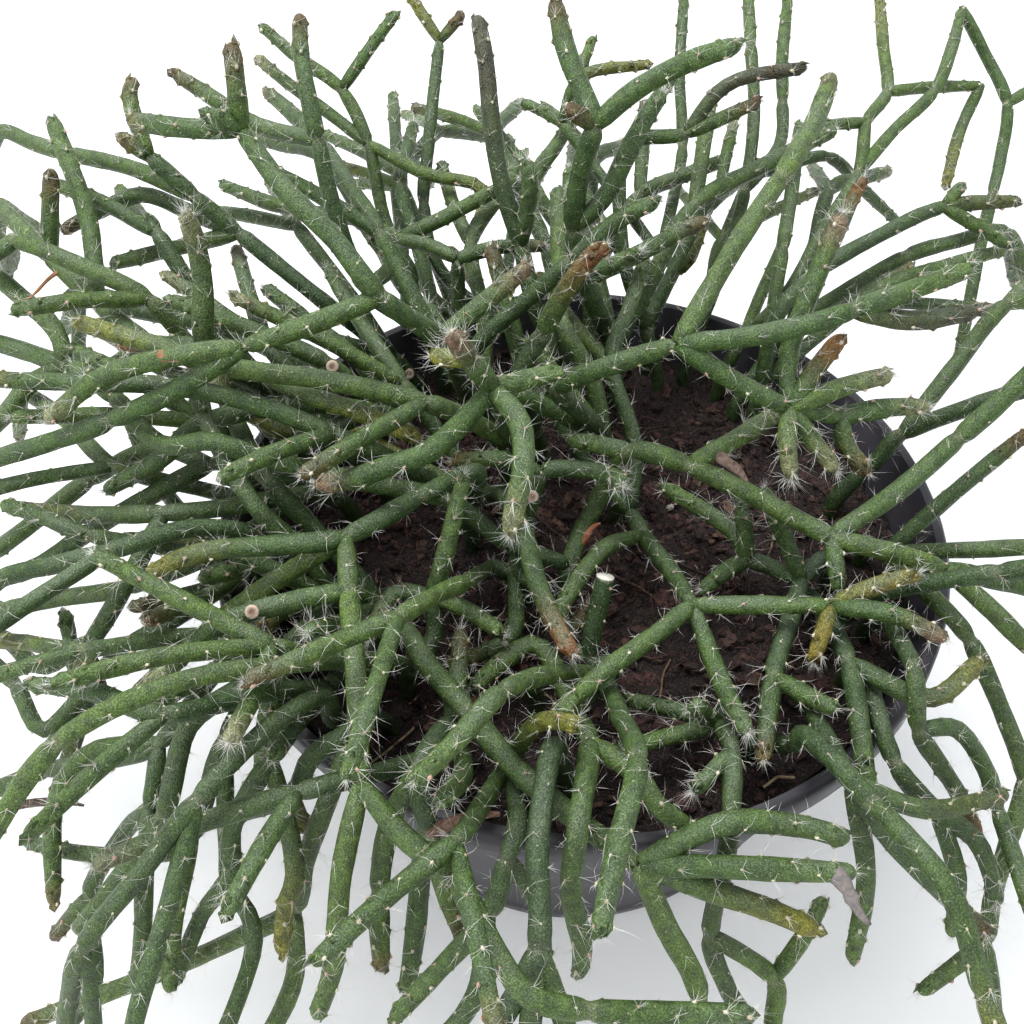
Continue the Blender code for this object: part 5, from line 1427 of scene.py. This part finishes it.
    for kind in (bumps, humps, lying, standing, straight):
        kind.update({key: np.concatenate(rows) for key, rows in kind.items()})
    for name, kind, pieces, wide, tall, material in (
        ("areoles", bumps, 2, areoleLook["wide"], areoleLook["tall"], woolMaterial),
        ("areole_humps", humps, 1, *areoleLook["hump"], skinMaterial),
    ):
        for number, part in enumerate(np.array_split(np.arange(len(kind["place"])), pieces)):
            form = bmesh.new()
            bmesh.ops.create_cone(form, cap_ends=True, segments=5, radius1=1.3, radius2=0, depth=1.3)
            bmesh.ops.translate(form, verts=form.verts, vec=(0, 0, 0.35))
            out, size = kind["out"][part], kind["size"][part][:, None]
            side = unitRows(np.cross(kind["along"][part], out))
            up = unitRows(np.cross(out, side))
            spreadCopies("%s_%d" % (name, number + 1), form, kind["place"][part], side * size * wide,
                         up * size * wide * areoleLook["stretch"], out * size * tall, None, kind["tint"][part],
                         material)
    for name, kind, pieces, levels in (("lying_bristles", lying, 2, 1), ("curved_bristles", standing, 2, 1),
                                       ("straight_bristles", straight, 1, 0)):
        for number, part in enumerate(np.array_split(np.arange(len(kind["place"])), pieces)):
            way, size = kind["way"][part], kind["size"][part][:, None]
            one, two = acrossOf(way)
            tints = hairs[rng.integers(0, len(hairs), len(part))]
            spreadCopies("%s_%d" % (name, number + 1), hairForm(levels), kind["place"][part],
                         one * bristleLook["wide"], two * bristleLook["wide"], way * size,
                         kind["bend"][part], tints, bristleMaterial)
    print("areoles", len(bumps["place"]), "humps", len(humps["place"]),
          "bristles", len(lying["place"]), len(standing["place"]), len(straight["place"]))


potLook = {
    "steps": 112,
    "plastic": "#2c2a30",
    "footStep": 0.0012,
}


def makePot(material):
    # a thin thermoformed pot: a profile spun round the axis, with drain holes cut through its floor
    size = potSize
    rim, base, height, wall = size["rimRadius"], size["baseRadius"], size["height"], size["wall"]
    lipLow = height - size["lipHeight"]
    under = potRadius(lipLow)
    inner = rim - size["lipOut"] - wall
    step = potLook["footStep"]
    # radius and height, from the middle of the underside out and up, over the lip, and down inside
    profile = (
        (0, 0.0012), (base - 0.006, 0.0012), (base - 0.0045, 0), (base - 0.0016, 0), (base - 0.0004, 0.0006),
        (base + 0.0002, 0.002), (potRadius(0.010), 0.010), (potRadius(0.0105) - step * 0.4, 0.0112),
        (under - 0.0002, lipLow - 0.0006), (rim - 0.0006, lipLow), (rim, lipLow + 0.0009),
        (rim, height - 0.0012), (rim - 0.0005, height - 0.0003), (rim - 0.0012, height), (inner + 0.0004, height),
        (inner, height - 0.0008), (potInside(0.012), 0.012), (potInside(0.004), 0.004),
        (potInside(0.004) - 0.001, size["floor"]), (0, size["floor"]),
    )
    form = bmesh.new()
    line = [form.verts.new((radius, 0, z)) for radius, z in profile]
    edges = [form.edges.new(pair) for pair in zip(line, line[1:])]
    bmesh.ops.spin(form, geom=line + edges, cent=(0, 0, 0), axis=(0, 0, 1), angle=2 * math.pi,
                   steps=potLook["steps"], use_merge=True)
    bmesh.ops.remove_doubles(form, verts=form.verts, dist=1e-6)
    pot = finishPiece("nursery_pot", form, material)
    cutters = bmesh.new()
    for number in range(size["drainHoles"]):
        around, out = 2 * math.pi * number / size["drainHoles"], size["drainRingRadius"]
        made = bmesh.ops.create_cone(cutters, cap_ends=True, segments=24, radius1=size["drainHoleRadius"],
                                     radius2=size["drainHoleRadius"], depth=0.02)["verts"]
        bmesh.ops.translate(cutters, verts=made, vec=(out * math.cos(around), out * math.sin(around), 0))
    mesh = bpy.data.meshes.new("drain_cutters")
    cutters.to_mesh(mesh)
    cutters.free()
    cutter = bpy.data.objects.new("drain_cutters", mesh)
    bpy.context.scene.collection.objects.link(cutter)
    cut = pot.modifiers.new("drain", "BOOLEAN")
    cut.operation = "DIFFERENCE"
    cut.solver = "EXACT"
    cut.object = cutter
    made = bpy.data.meshes.new_from_object(pot.evaluated_get(bpy.context.evaluated_depsgraph_get()))
    pot.modifiers.clear()
    pot.data = made
    bpy.data.objects.remove(cutter)
    made.polygons.foreach_set("use_smooth", [True] * len(made.polygons))
    made.set_sharp_from_angle(angle=math.radians(38))
    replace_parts(pot, "pot")


soilLook = {
    "rings": 56,
    "around": 200,
    "seed": 9,
    "clods": 72,
    "lumps": 360,
    "chips": 280,
    "crumbs": 2000,
    "fibres": 300,
    "roots": 26,
    "grains": 12,
    "clearOfStems": 0.0026,
    "clodSizes": (0.0018, 0.0050),
    "chipSizes": (0.0010, 0.0034),
    "crumbSizes": (0.0004, 0.0014),
    "grainSizes": (0.0004, 0.0009),
    "fibreLengths": (0.004, 0.016),
    "fibreWide": 0.00011,
    "rootLengths": (0.012, 0.034),
    "rootWide": 0.00028,
    "bark": ("#38231f", "#291917", "#48302a", "#573b34", "#1c1110", "#3d2828"),
    "chip": ("#5d463a", "#6f5444", "#4a372f", "#38281f"),
    # near black: painted shade for the gaps between clods and crumbs
    "hollowShade": "#0c0707",
    "straw": ("#8d765a", "#a58f70", "#6e5844", "#5b473a"),
    "grain": ("#b9b3a6", "#9a9488"),
}


def soilSurface(x, y):
    # the medium's own relief with lumps and pits on it
    lumps = noise.fractal(Vector((x * 150, y * 150, 3.1)), 0.8, 2.2, 5)
    pits = abs(noise.noise(Vector((x * 210, y * 210, 9.4))))
    return soilHeight(x, y) + 0.0012 * lumps - 0.0034 * pits


def makeSoil(barkMaterial, grainMaterial, clear):
    # the medium's bumpy surface, and what lies on it; clear holds the stems' feet
    form, layer = startForm()
    ring, edges = startRing(form, soilLook["around"])
    outer = potInside(soilSize["top"]) - soilSize["gap"]
    low = potInside(potSize["floor"] + soilSize["gap"]) - soilSize["gap"] * 1.5
    # painted shade: the surface's colour runs by noise from near black to dark brown, and the near black stands
    # for shade in the gaps
    dark = hexToLinear(soilLook["hollowShade"])
    brown = hexToLinear(soilLook["bark"][4])
    stages = [(low, None)] + [(outer * k / soilLook["rings"], 1) for k in range(soilLook["rings"], 0, -1)]
    for number, (radius, top) in enumerate(stages):
        if number:
            ring, edges = extrudeRing(form, edges)
        for v in ring:
            around = math.atan2(v.co.y, v.co.x)
            x, y = radius * math.cos(around), radius * math.sin(around)
            v.co = (x, y, soilSurface(x, y) if top else potSize["floor"] + soilSize["gap"])
            share = 0.5 + 0.5 * noise.noise(Vector((x * 260, y * 260, 7.0)))
            v[layer] = (*[a + (b - a) * share for a, b in zip(dark, brown)], 1)
    for loop in (edges, [e for e in form.edges if e.is_boundary and e not in set(edges)]):
        bmesh.ops.contextual_create(form, geom=loop)
    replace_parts(finishPiece("bark_mix", form, barkMaterial), "soil")

    rng = np.random.default_rng(soilLook["seed"])
    bark, chips, straw, pale = (tonesOf(soilLook[key]) for key in ("bark", "chip", "straw", "grain"))

    def places(count, deep, inside=0.003):
        # places on the medium, away from the stems that stand in it
        found = []
        while len(found) < count:
            radius = (outer - inside) * math.sqrt(rng.random())
            around = rng.uniform(0, 2 * math.pi)
            x, y = radius * math.cos(around), radius * math.sin(around)
            if np.hypot(clear[:, 0] - x, clear[:, 1] - y).min() > soilLook["clearOfStems"]:
                found.append((x, y, soilSurface(x, y) + deep))
        return np.array(found)

    def turned(count, tilt):
        # random directions that lie nearly flat
        around = rng.uniform(0, 2 * math.pi, count)
        along = unitRows(np.stack([np.cos(around), np.sin(around), rng.normal(0, tilt, count)], 1))
        up = np.stack([rng.normal(0, tilt, count), rng.normal(0, tilt, count), np.ones(count)], 1)
        across = unitRows(np.cross(along, up))
        return along, across, np.cross(across, along)

    def scatter(name, form, turns, size, tones, shade, lies, widths, thicknesses):
        # copies of one rough form, each with its own size, colour, width and thickness
        along, across, up = turns
        count = len(size)
        tints = tones[rng.integers(0, len(tones), count)] * rng.uniform(*shade, count)[:, None]
        spreadCopies(name, form, places(count, *lies), across * size * rng.uniform(*widths, count)[:, None],
                     up * size * rng.uniform(*thicknesses, count)[:, None], along * size, None, tints,
                     barkMaterial, smooth=False)

    # big crumbling clods of bark and peat, each of its own shape
    form, layer = startForm()
    for number, at in enumerate(places(soilLook["clods"], -0.0012, 0.006)):
        made = bmesh.ops.create_icosphere(form, subdivisions=3 + number % 2, radius=1.0)["verts"]
        size = rng.uniform(*soilLook["clodSizes"])
        shape = Vector([size * rng.uniform(*sides) for sides in ((0.7, 1.1), (0.5, 0.9), (0.4, 0.7))])
        turn = Matrix.Rotation(rng.uniform(0, 6.3), 3, "Z") @ Matrix.Rotation(rng.uniform(-0.5, 0.5), 3, "X")
        tone = bark[rng.integers(0, len(bark))] * rng.uniform(0.8, 1.6)
        for v in made:
            far = v.co + Vector((number * 3.7, 0, 0))
            crumbleAndShade = noise.fractal(far * 2.3, 0.9, 2.1, 4)
            v.co *= 1 + 0.30 * noise.noise(far * 0.9) + 0.30 * crumbleAndShade
            v.co = turn @ (v.co * shape) + Vector(at)
            # painted shade and light: a clod is darker where the noise dents it and lighter where it swells
            v[layer] = (*(tone * max(0.25, 1 + 0.9 * crumbleAndShade)), 1)
    finishPiece("peat_clods", form, barkMaterial)
    # rough lumps, in a few shapes
    for kind in range(3):
        count = soilLook["lumps"] // 3
        form = bmesh.new()
        bmesh.ops.create_icosphere(form, subdivisions=2, radius=1.0)
        for v in form.verts:
            far = v.co + Vector((kind * 7.0, 2.0, 0))
            v.co *= 1 + 0.5 * noise.noise(far * 1.1) + 0.45 * noise.noise(far * 2.7)
        turns = turned(count, 0.6)
        size = (0.0007 + 0.0022 * rng.random(count) ** 2)[:, None]
        scatter("peat_lumps_%d" % (kind + 1), form, turns, size, bark, (0.6, 1.5), (-0.0001, 0.004),
                (0.6, 1.0), (0.45, 0.8))
    # split chips of bark, longer than wide
    for kind in range(3):
        count = soilLook["chips"] // 3
        form = bmesh.new()
        bmesh.ops.create_cube(form, size=2.0)
        bmesh.ops.subdivide_edges(form, edges=form.edges, cuts=2, use_grid_fill=True)
        for v in form.verts:
            rough = noise.noise_vector(v.co * 1.3 + Vector((kind * 5.0, 0, 0)))
            v.co = Vector((v.co.x, v.co.y * (1 - 0.4 * abs(v.co.z)), v.co.z)) + rough * 0.42
        turns = turned(count, 0.5)
        size = rng.uniform(*soilLook["chipSizes"], count)[:, None]
        scatter("bark_chips_%d" % (kind + 1), form, turns, size, chips, (0.45, 1.15), (0.0002, 0.006),
                (0.3, 0.6), (0.12, 0.3))
    # crumbs of peat
    count = soilLook["crumbs"]
    form = bmesh.new()
    bmesh.ops.create_icosphere(form, subdivisions=1, radius=1.0)
    for v in form.verts:
        v.co += noise.noise_vector(v.co * 1.7) * 0.35
    along, across, up = turned(count, 0.8)
    size = rng.uniform(*soilLook["crumbSizes"], count)[:, None]
    tints = bark[rng.integers(0, len(bark), count)] * rng.uniform(0.5, 1.25, count)[:, None]
    spreadCopies("peat_crumbs", form, places(count, 0.0001, 0.0012), across * size, up * size * 0.8,
                 along * size * 1.2, None, tints, barkMaterial)
    # fine fibres, and a few dry straw-coloured roots
    for name, count, lengths, wide, tones in (
        ("peat_fibres", soilLook["fibres"], soilLook["fibreLengths"], soilLook["fibreWide"], bark * 1.6),
        ("dry_roots", soilLook["roots"], soilLook["rootLengths"], soilLook["rootWide"], straw),
    ):
        form = bmesh.new()
        bmesh.ops.create_circle(form, cap_ends=True, segments=4, radius=1.0)
        bmesh.ops.translate(form, verts=form.verts, vec=(0, 0, -0.5))
        for level in range(8):
            top = [f for f in form.faces if all(abs(v.co.z - (level / 8 - 0.5)) < 1e-4 for v in f.verts)]
            made = bmesh.ops.extrude_face_region(form, geom=top)["geom"]
            bmesh.ops.delete(form, geom=[f for f in top if f.is_valid and level], context="FACES")
            moved = [g for g in made if isinstance(g, bmesh.types.BMVert)]
            bmesh.ops.translate(form, verts=moved, vec=(0, 0, 1 / 8))
        for v in form.verts:
            v.co.x += 1.8 * math.sin(v.co.z * 9) * (1 if name == "dry_roots" else 2.6)
        bmesh.ops.recalc_face_normals(form, faces=form.faces)
        along, across, up = turned(count, 0.10)
        long = rng.uniform(*lengths, count)[:, None]
        tints = tones[rng.integers(0, len(tones), count)] * rng.uniform(0.7, 1.2, count)[:, None]
        spreadCopies(name, form, places(count, 0.0013, 0.014), across * wide, up * wide, along * long,
                     across * long * rng.normal(0, 0.5, count)[:, None], tints, barkMaterial)
    # white mineral grains
    count = soilLook["grains"]
    form = bmesh.new()
    bmesh.ops.create_icosphere(form, subdivisions=2, radius=1.0)
    for v in form.verts:
        v.co += noise.noise_vector(v.co * 1.4) * 0.8
    along, across, up = turned(count, 0.8)
    size = rng.uniform(*soilLook["grainSizes"], count)[:, None]
    spreadCopies("mineral_grains", form, places(count, 0.0004), across * size, up * size, along * size,
                 None, pale[rng.integers(0, len(pale), count)], grainMaterial)


# dry husks, stubs and old cuts: where they start and end in the photograph's pixels, half width, how flat, colour
dryLook = {
    "husks": (
        ((671, 405), (706, 436), 0.0014, 0.5, "#6d554e"),
        ((720, 455), (748, 486), 0.0015, 0.5, "#5d473f"),
        ((836, 874), (872, 924), 0.0017, 0.4, "#6f6a6c"),
        ((434, 829), (500, 814), 0.0017, 0.5, "#5b3a2a"),
        ((20, 804), (84, 805), 0.0014, 0.5, "#3c2d27"),
        ((576, 533), (601, 524), 0.0010, 0.6, "#9a5226"),
        ((60, 279), (22, 300), 0.0006, 0.8, "#a86a3a"),
        ((152, 357), (196, 352), 0.0013, 0.7, "#7c5433"),
    ),
    "scars": ((412, 380), (340, 370), (540, 499), (257, 617)),
    "scarWide": 0.00135,
    # how far out each ring is, its share of the width, and its colour
    "scarRings": ((0, 1.1, "#4c5b34"), (0.0010, 1.0, "#6b5d45"), (0.0022, 1.08, "#c9b4a0"),
                  (0.0024, 0.85, "#c9b4a0"), (0.0023, 0.35, "#6e4e40")),
    "strawWide": 0.00035,
    "straw": "#a8926f",
    "straws": (
        ((614, 738), (622, 756), (633, 775), (645, 792)),
        ((700, 716), (712, 722), (706, 733), (690, 738)),
        ((765, 783), (778, 775), (795, 778)),
    ),
}


def pixelsOf(places):
    # where places appear in the photograph, and how far they are along the view
    forward, right, up = (np.array(v) for v in viewpoint())
    rows = np.asarray(places) - np.array(photoView["from"])
    deep = rows @ forward
    half = photoView["sidePx"] / 2
    scale = photoView["focalPx"] / deep
    return np.stack([half + rows @ right * scale, half - rows @ up * scale], 1), deep


def atDepth(pixel, deep):
    # the place that far along the view at a pixel
    forward, right, up = viewpoint()
    half = photoView["sidePx"] / 2
    ray = forward + (right * (pixel[0] - half) + up * (half - pixel[1])) / photoView["focalPx"]
    return photoView["from"] + ray * deep


def makeDryPieces(spots, strawMaterial):
    # each stands on the stem that is nearest to the camera where it starts
    rng = np.random.default_rng(17)
    rows = np.concatenate([spot["fine"] for spot in spots])
    shown, deep = pixelsOf(rows)
    toCamera = -np.array(viewpoint()[0])

    def onStem(pixel):
        apart = np.hypot(shown[:, 0] - pixel[0], shown[:, 1] - pixel[1])
        close = np.flatnonzero(apart < max(9, apart.min() + 0.1))
        best = close[np.argmin(deep[close])]
        return rows[best], deep[best]

    form, layer = startForm()
    for start, end, wide, flat, colour in dryLook["husks"]:
        at, far = onStem(start)
        at = at + toCamera * stemSize["radius"] * 0.5
        away = np.array(atDepth(end, far - stemSize["radius"])) - at
        steps = np.linspace(0, 1, 9)
        wave = np.cross(unitRows(away[None])[0], toCamera)
        places = at + away * steps[:, None] + wave * (0.0006 * np.sin(steps * 5 + rng.uniform(0, 6)))[:, None]
        tangents = unitRows(np.gradient(places, axis=0))
        radii = wide * (1 - 0.75 * steps ** 1.6) * rng.uniform(0.8, 1.2, 9)
        tone = np.array(hexToLinear(colour))
        rowsOf = [(*(tone * rng.uniform(0.7, 1.35)), 1) for _ in steps]
        before = set(form.verts)
        growTube(form, layer, places, tangents, radii, rowsOf, 8)
        # flattened towards the camera's side, as a shrivelled skin is
        for v in form.verts:
            if v not in before:
                nearest = Vector(places[np.argmin(((places - np.array(v.co)) ** 2).sum(1))])
                lift = (v.co - nearest).dot(Vector(toCamera))
                v.co -= Vector(toCamera) * lift * (1 - flat)
    for pixel in dryLook["scars"]:
        at, far = onStem(pixel)
        ahead, wide, codes = (np.array(column) for column in zip(*dryLook["scarRings"]))
        places = at + toCamera * (ahead + stemSize["radius"] * 0.5)[:, None]
        growTube(form, layer, places, np.repeat(toCamera[None], len(wide), 0), dryLook["scarWide"] * wide,
                 [(*hexToLinear(code), 1) for code in codes], 12)
    finishPiece("dry_husks_and_scars", form, strawMaterial)
    form, layer = startForm()
    for path in dryLook["straws"]:
        knots = [placeOf(*pixel, soilSize["top"] + 0.002) for pixel in path]
        knots = np.array([(*k[:2], soilSurface(k[0], k[1]) + 0.0018) for k in knots])
        steps = np.linspace(0, len(knots) - 1, 14)
        places = rowsAt(steps, np.arange(len(knots)), knots)
        tangents = unitRows(np.gradient(places, axis=0))
        tone = np.array(hexToLinear(dryLook["straw"]))
        colours = [(*(tone * rng.uniform(0.8, 1.2)), 1) for _ in steps]
        growTube(form, layer, places, tangents, np.full(len(steps), dryLook["strawWide"]), colours, 6)
    finishPiece("pale_straws", form, strawMaterial)


def waxySkin():
    # cactus epidermis under a wax bloom: satin and finely granular, with pale corky specks, and a painted
    # highlight on the upper side
    material, tree, shader = startMaterial("waxy_cactus_skin")
    place = addNode(tree, "ShaderNodeTexCoord")
    tint = addNode(tree, "ShaderNodeAttribute", {"attribute_name": "tint"})
    # patches about 8 mm across are paler or yellower, as where the light falls
    patch = pattern(tree, place, 110.0, 3.0)
    mottled = tinge(tree, patch, ((0.45, 0.0), (0.75, 0.35)), (tint, 0), "#647a38")
    # dull darker clouds about 2 mm across
    cloud = pattern(tree, place, 420.0, 3.0)
    shaded = tinge(tree, cloud, ((0.38, 0.5), (0.6, 0.0)), mottled, "#1a2b1b")
    # a pale grey-green on the upper side: partly wax bloom, partly a painted highlight where the light from above
    # falls
    lie = addNode(tree, "ShaderNodeNewGeometry")
    split = addNode(tree, "ShaderNodeSeparateXYZ", links={0: (lie, "Normal")})
    bloomAndSheenPatches = pattern(tree, place, 75.0, 5.0)
    upper = ramp(tree, (split, 2), ((0.30, 0.0), (1.0, 0.55)))
    patchyBloomAndSheen = ramp(tree, (bloomAndSheenPatches, 0), ((0.38, 0.08), (0.66, 1.0)))
    # wax bloom and painted highlight together, strongest where the surface faces up
    bloomAndTopHighlight = addNode(tree, "ShaderNodeMath", {"operation": "MULTIPLY"}, {0: upper, 1: patchyBloomAndSheen})
    bloomedAndHighlit = mixColours(tree, (bloomAndTopHighlight, 0), shaded, hexToLinear("#84917a"))
    # granules: real ones are 0.1 to 0.2 mm, drawn at 0.35 mm so that they show
    grain = pattern(tree, place, 2800.0)
    grained = tinge(tree, grain, ((0.20, 0.0), (0.62, 0.8)), bloomedAndHighlit, "#8d9786", "MULTIPLY")
    fleck = pattern(tree, place, 2100.0)
    flecked = tinge(tree, fleck, ((0.16, 0.32), (0.34, 0.0)), grained, "#8c9b7a")
    # corky lens marks, 1 to 2 mm apart
    speck = pattern(tree, place, 560.0)
    specked = tinge(tree, speck, ((0.07, 0.6), (0.12, 0.0)), flecked, "#a9b08e")
    # a cut end is nearly white pith, without bloom, painted highlight or grain
    pith = tinge(tree, tint, ((0.60, 0.0), (0.70, 0.92)), specked, "#e9e3d6")
    plug(tree, shader, Base_Color=pith)
    rough = ramp(tree, (cloud, 0), ((0.3, 0.36), (0.7, 0.58)))
    plug(tree, shader, Roughness=rough)
    shader.inputs["IOR"].default_value = 1.42
    shader.inputs["Specular IOR Level"].default_value = 0.45
    fine = relief(tree, grain, 0.8, 0.0002)
    coarse = relief(tree, cloud, 0.6, 0.0007, fine)
    plug(tree, shader, Normal=(coarse, 0))
    return material


def plainTinted(name, roughness, strength, scale, lighter):
    # a matt surface coloured by its own attribute, with fine relief
    material, tree, shader = startMaterial(name)
    place = addNode(tree, "ShaderNodeTexCoord")
    tint = addNode(tree, "ShaderNodeAttribute", {"attribute_name": "tint"})
    fine = pattern(tree, place, scale, 4.0)
    mixed = tinge(tree, fine, ((0.35, 0.0), (0.75, 0.5)), (tint, 0), lighter)
    plug(tree, shader, Base_Color=mixed)
    shader.inputs["Roughness"].default_value = roughness
    bump = relief(tree, fine, strength, 0.0006)
    plug(tree, shader, Normal=(bump, 0))
    return material


def barkAndPeat():
    # fine composted bark and peat, damp: matt and crumbly, with painted shade darkening the hollows between the
    # fibres
    material, tree, shader = startMaterial("bark_and_peat")
    place = addNode(tree, "ShaderNodeTexCoord")
    tint = addNode(tree, "ShaderNodeAttribute", {"attribute_name": "tint"})
    crumb = pattern(tree, place, 650.0, 6.0)
    # painted shade: darker where the crumb pattern is low, which the bump below makes hollow
    hollowShade = tinge(tree, crumb, ((0.36, 1.0), (0.54, 0.0)), (tint, 0), "#5c5252", "MULTIPLY")
    fine = pattern(tree, place, 2300.0, 3.0)
    mixed = tinge(tree, fine, ((0.50, 0.0), (0.75, 0.55)), hollowShade, "#7a574b")
    plug(tree, shader, Base_Color=mixed)
    shader.inputs["Roughness"].default_value = 0.85
    small = relief(tree, fine, 0.8, 0.0004)
    big = relief(tree, crumb, 1.0, 0.0018, small)
    plug(tree, shader, Normal=(big, 0))
    return material


def bristleHair():
    # dry spine tissue: off-white, slightly translucent
    material, tree, shader = startMaterial("dry_bristle")
    tint = addNode(tree, "ShaderNodeAttribute", {"attribute_name": "tint"})
    plug(tree, shader, Base_Color=(tint, 0))
    shader.inputs["Roughness"].default_value = 0.4
    shader.inputs["IOR"].default_value = 1.5
    return material


def potPlastic():
    # thermoformed polystyrene, dark violet-grey, with a slight satin from the mould
    material, tree, shader = startMaterial("thermoformed_plastic")
    place = addNode(tree, "ShaderNodeTexCoord")
    cloud = pattern(tree, place, 60.0, 5.0)
    dusty = mixColours(tree, ramp(tree, (cloud, 0), ((0.4, 0.0), (0.75, 0.3))), hexToLinear(potLook["plastic"]),
                       hexToLinear("#625c62"))
    plug(tree, shader, Base_Color=dusty)
    rough = ramp(tree, (cloud, 0), ((0.3, 0.36), (0.7, 0.55)))
    plug(tree, shader, Roughness=rough)
    grain = pattern(tree, place, 1800.0, 2.0)
    bump = relief(tree, grain, 0.12, 0.0002)
    plug(tree, shader, Normal=(bump, 0))
    return material


def makeStudio():
    # the photograph's camera, a pale floor, a soft sky and two soft lamps
    scene = bpy.context.scene
    lens = bpy.data.cameras.new("photo_camera")
    camera = bpy.data.objects.new("photo_camera", lens)
    scene.collection.objects.link(camera)
    lens.sensor_width = 36
    lens.lens = 36 * photoView["focalPx"] / photoView["sidePx"]
    lens.clip_start = 0.005
    camera.location = photoView["from"]
    camera.rotation_euler = (photoView["towards"] - photoView["from"]).to_track_quat("-Z", "Y").to_euler()
    scene.camera = camera

    form = bmesh.new()
    bmesh.ops.create_grid(form, x_segments=8, y_segments=8, size=4.0)
    mesh = bpy.data.meshes.new("floor")
    form.to_mesh(mesh)
    form.free()
    floor = bpy.data.objects.new("floor", mesh)
    scene.collection.objects.link(floor)
    material, _, shader = startMaterial("pale_floor")
    shader.inputs["Emission Color"].default_value = (1, 1, 1, 1)
    shader.inputs["Emission Strength"].default_value = studio["floorGlow"]
    shader.inputs["Base Color"].default_value = (0.86, 0.86, 0.86, 1)
    shader.inputs["Roughness"].default_value = 0.9
    mesh.materials.append(material)

    world = bpy.data.worlds.new("soft_sky")
    scene.world = world
    world.use_nodes = True
    sky = world.node_tree.nodes["Background"]
    sky.inputs["Color"].default_value = (*studio["sky"], 1)
    sky.inputs["Strength"].default_value = studio["skyStrength"]
    for name, place, size, power in studio["lamps"]:
        lamp = bpy.data.lights.new(name, "AREA")
        lamp.shape = "DISK"
        lamp.size = size
        lamp.energy = power
        thing = bpy.data.objects.new(name, lamp)
        thing.location = place
        thing.rotation_euler = (Vector((0, 0, 0.08)) - Vector(place)).to_track_quat("-Z", "Y").to_euler()
        scene.collection.objects.link(thing)
    scene.view_settings.view_transform = "Standard"


studio = {
    "sky": (0.92, 0.96, 1.0),
    "skyStrength": 0.92,
    "floorGlow": 0.20,  # keeps the floor nearly white under the plant
    "lamps": (
        ("softbox_above", (-0.25, 0.15, 1.1), 0.6, 10.5),
        ("softbox_left", (-0.9, -0.5, 0.7), 0.6, 4.0),
    ),
}


makeStudio()
skeleton = buildSkeleton()
left = easeApart(skeleton)
print("stems", len(skeleton.stems), "places too close", left)
skin = waxySkin()
wool = plainTinted("areole_wool", 0.9, 0.4, 3000.0, "#d9d2bf")
bark = barkAndPeat()
grain = plainTinted("perlite", 0.9, 0.5, 1500.0, "#e2ddd2")
hair = bristleHair()
makePot(potPlastic())
print("pot made")
feet = np.array([skeleton.points[s["run"][1]][:2] for s in skeleton.stems if skeleton.held[s["run"][0]]])
makeSoil(bark, grain, feet)
print("medium made")
spots = makeStems(skeleton, skin)
print("stems made")
makeAreolesAndBristles(spots, skin, wool, hair)
print("areoles and bristles made")
makeDryPieces(spots, plainTinted("dried_skin_and_straw", 0.8, 0.6, 1200.0, "#a89684"))
print("scene made")
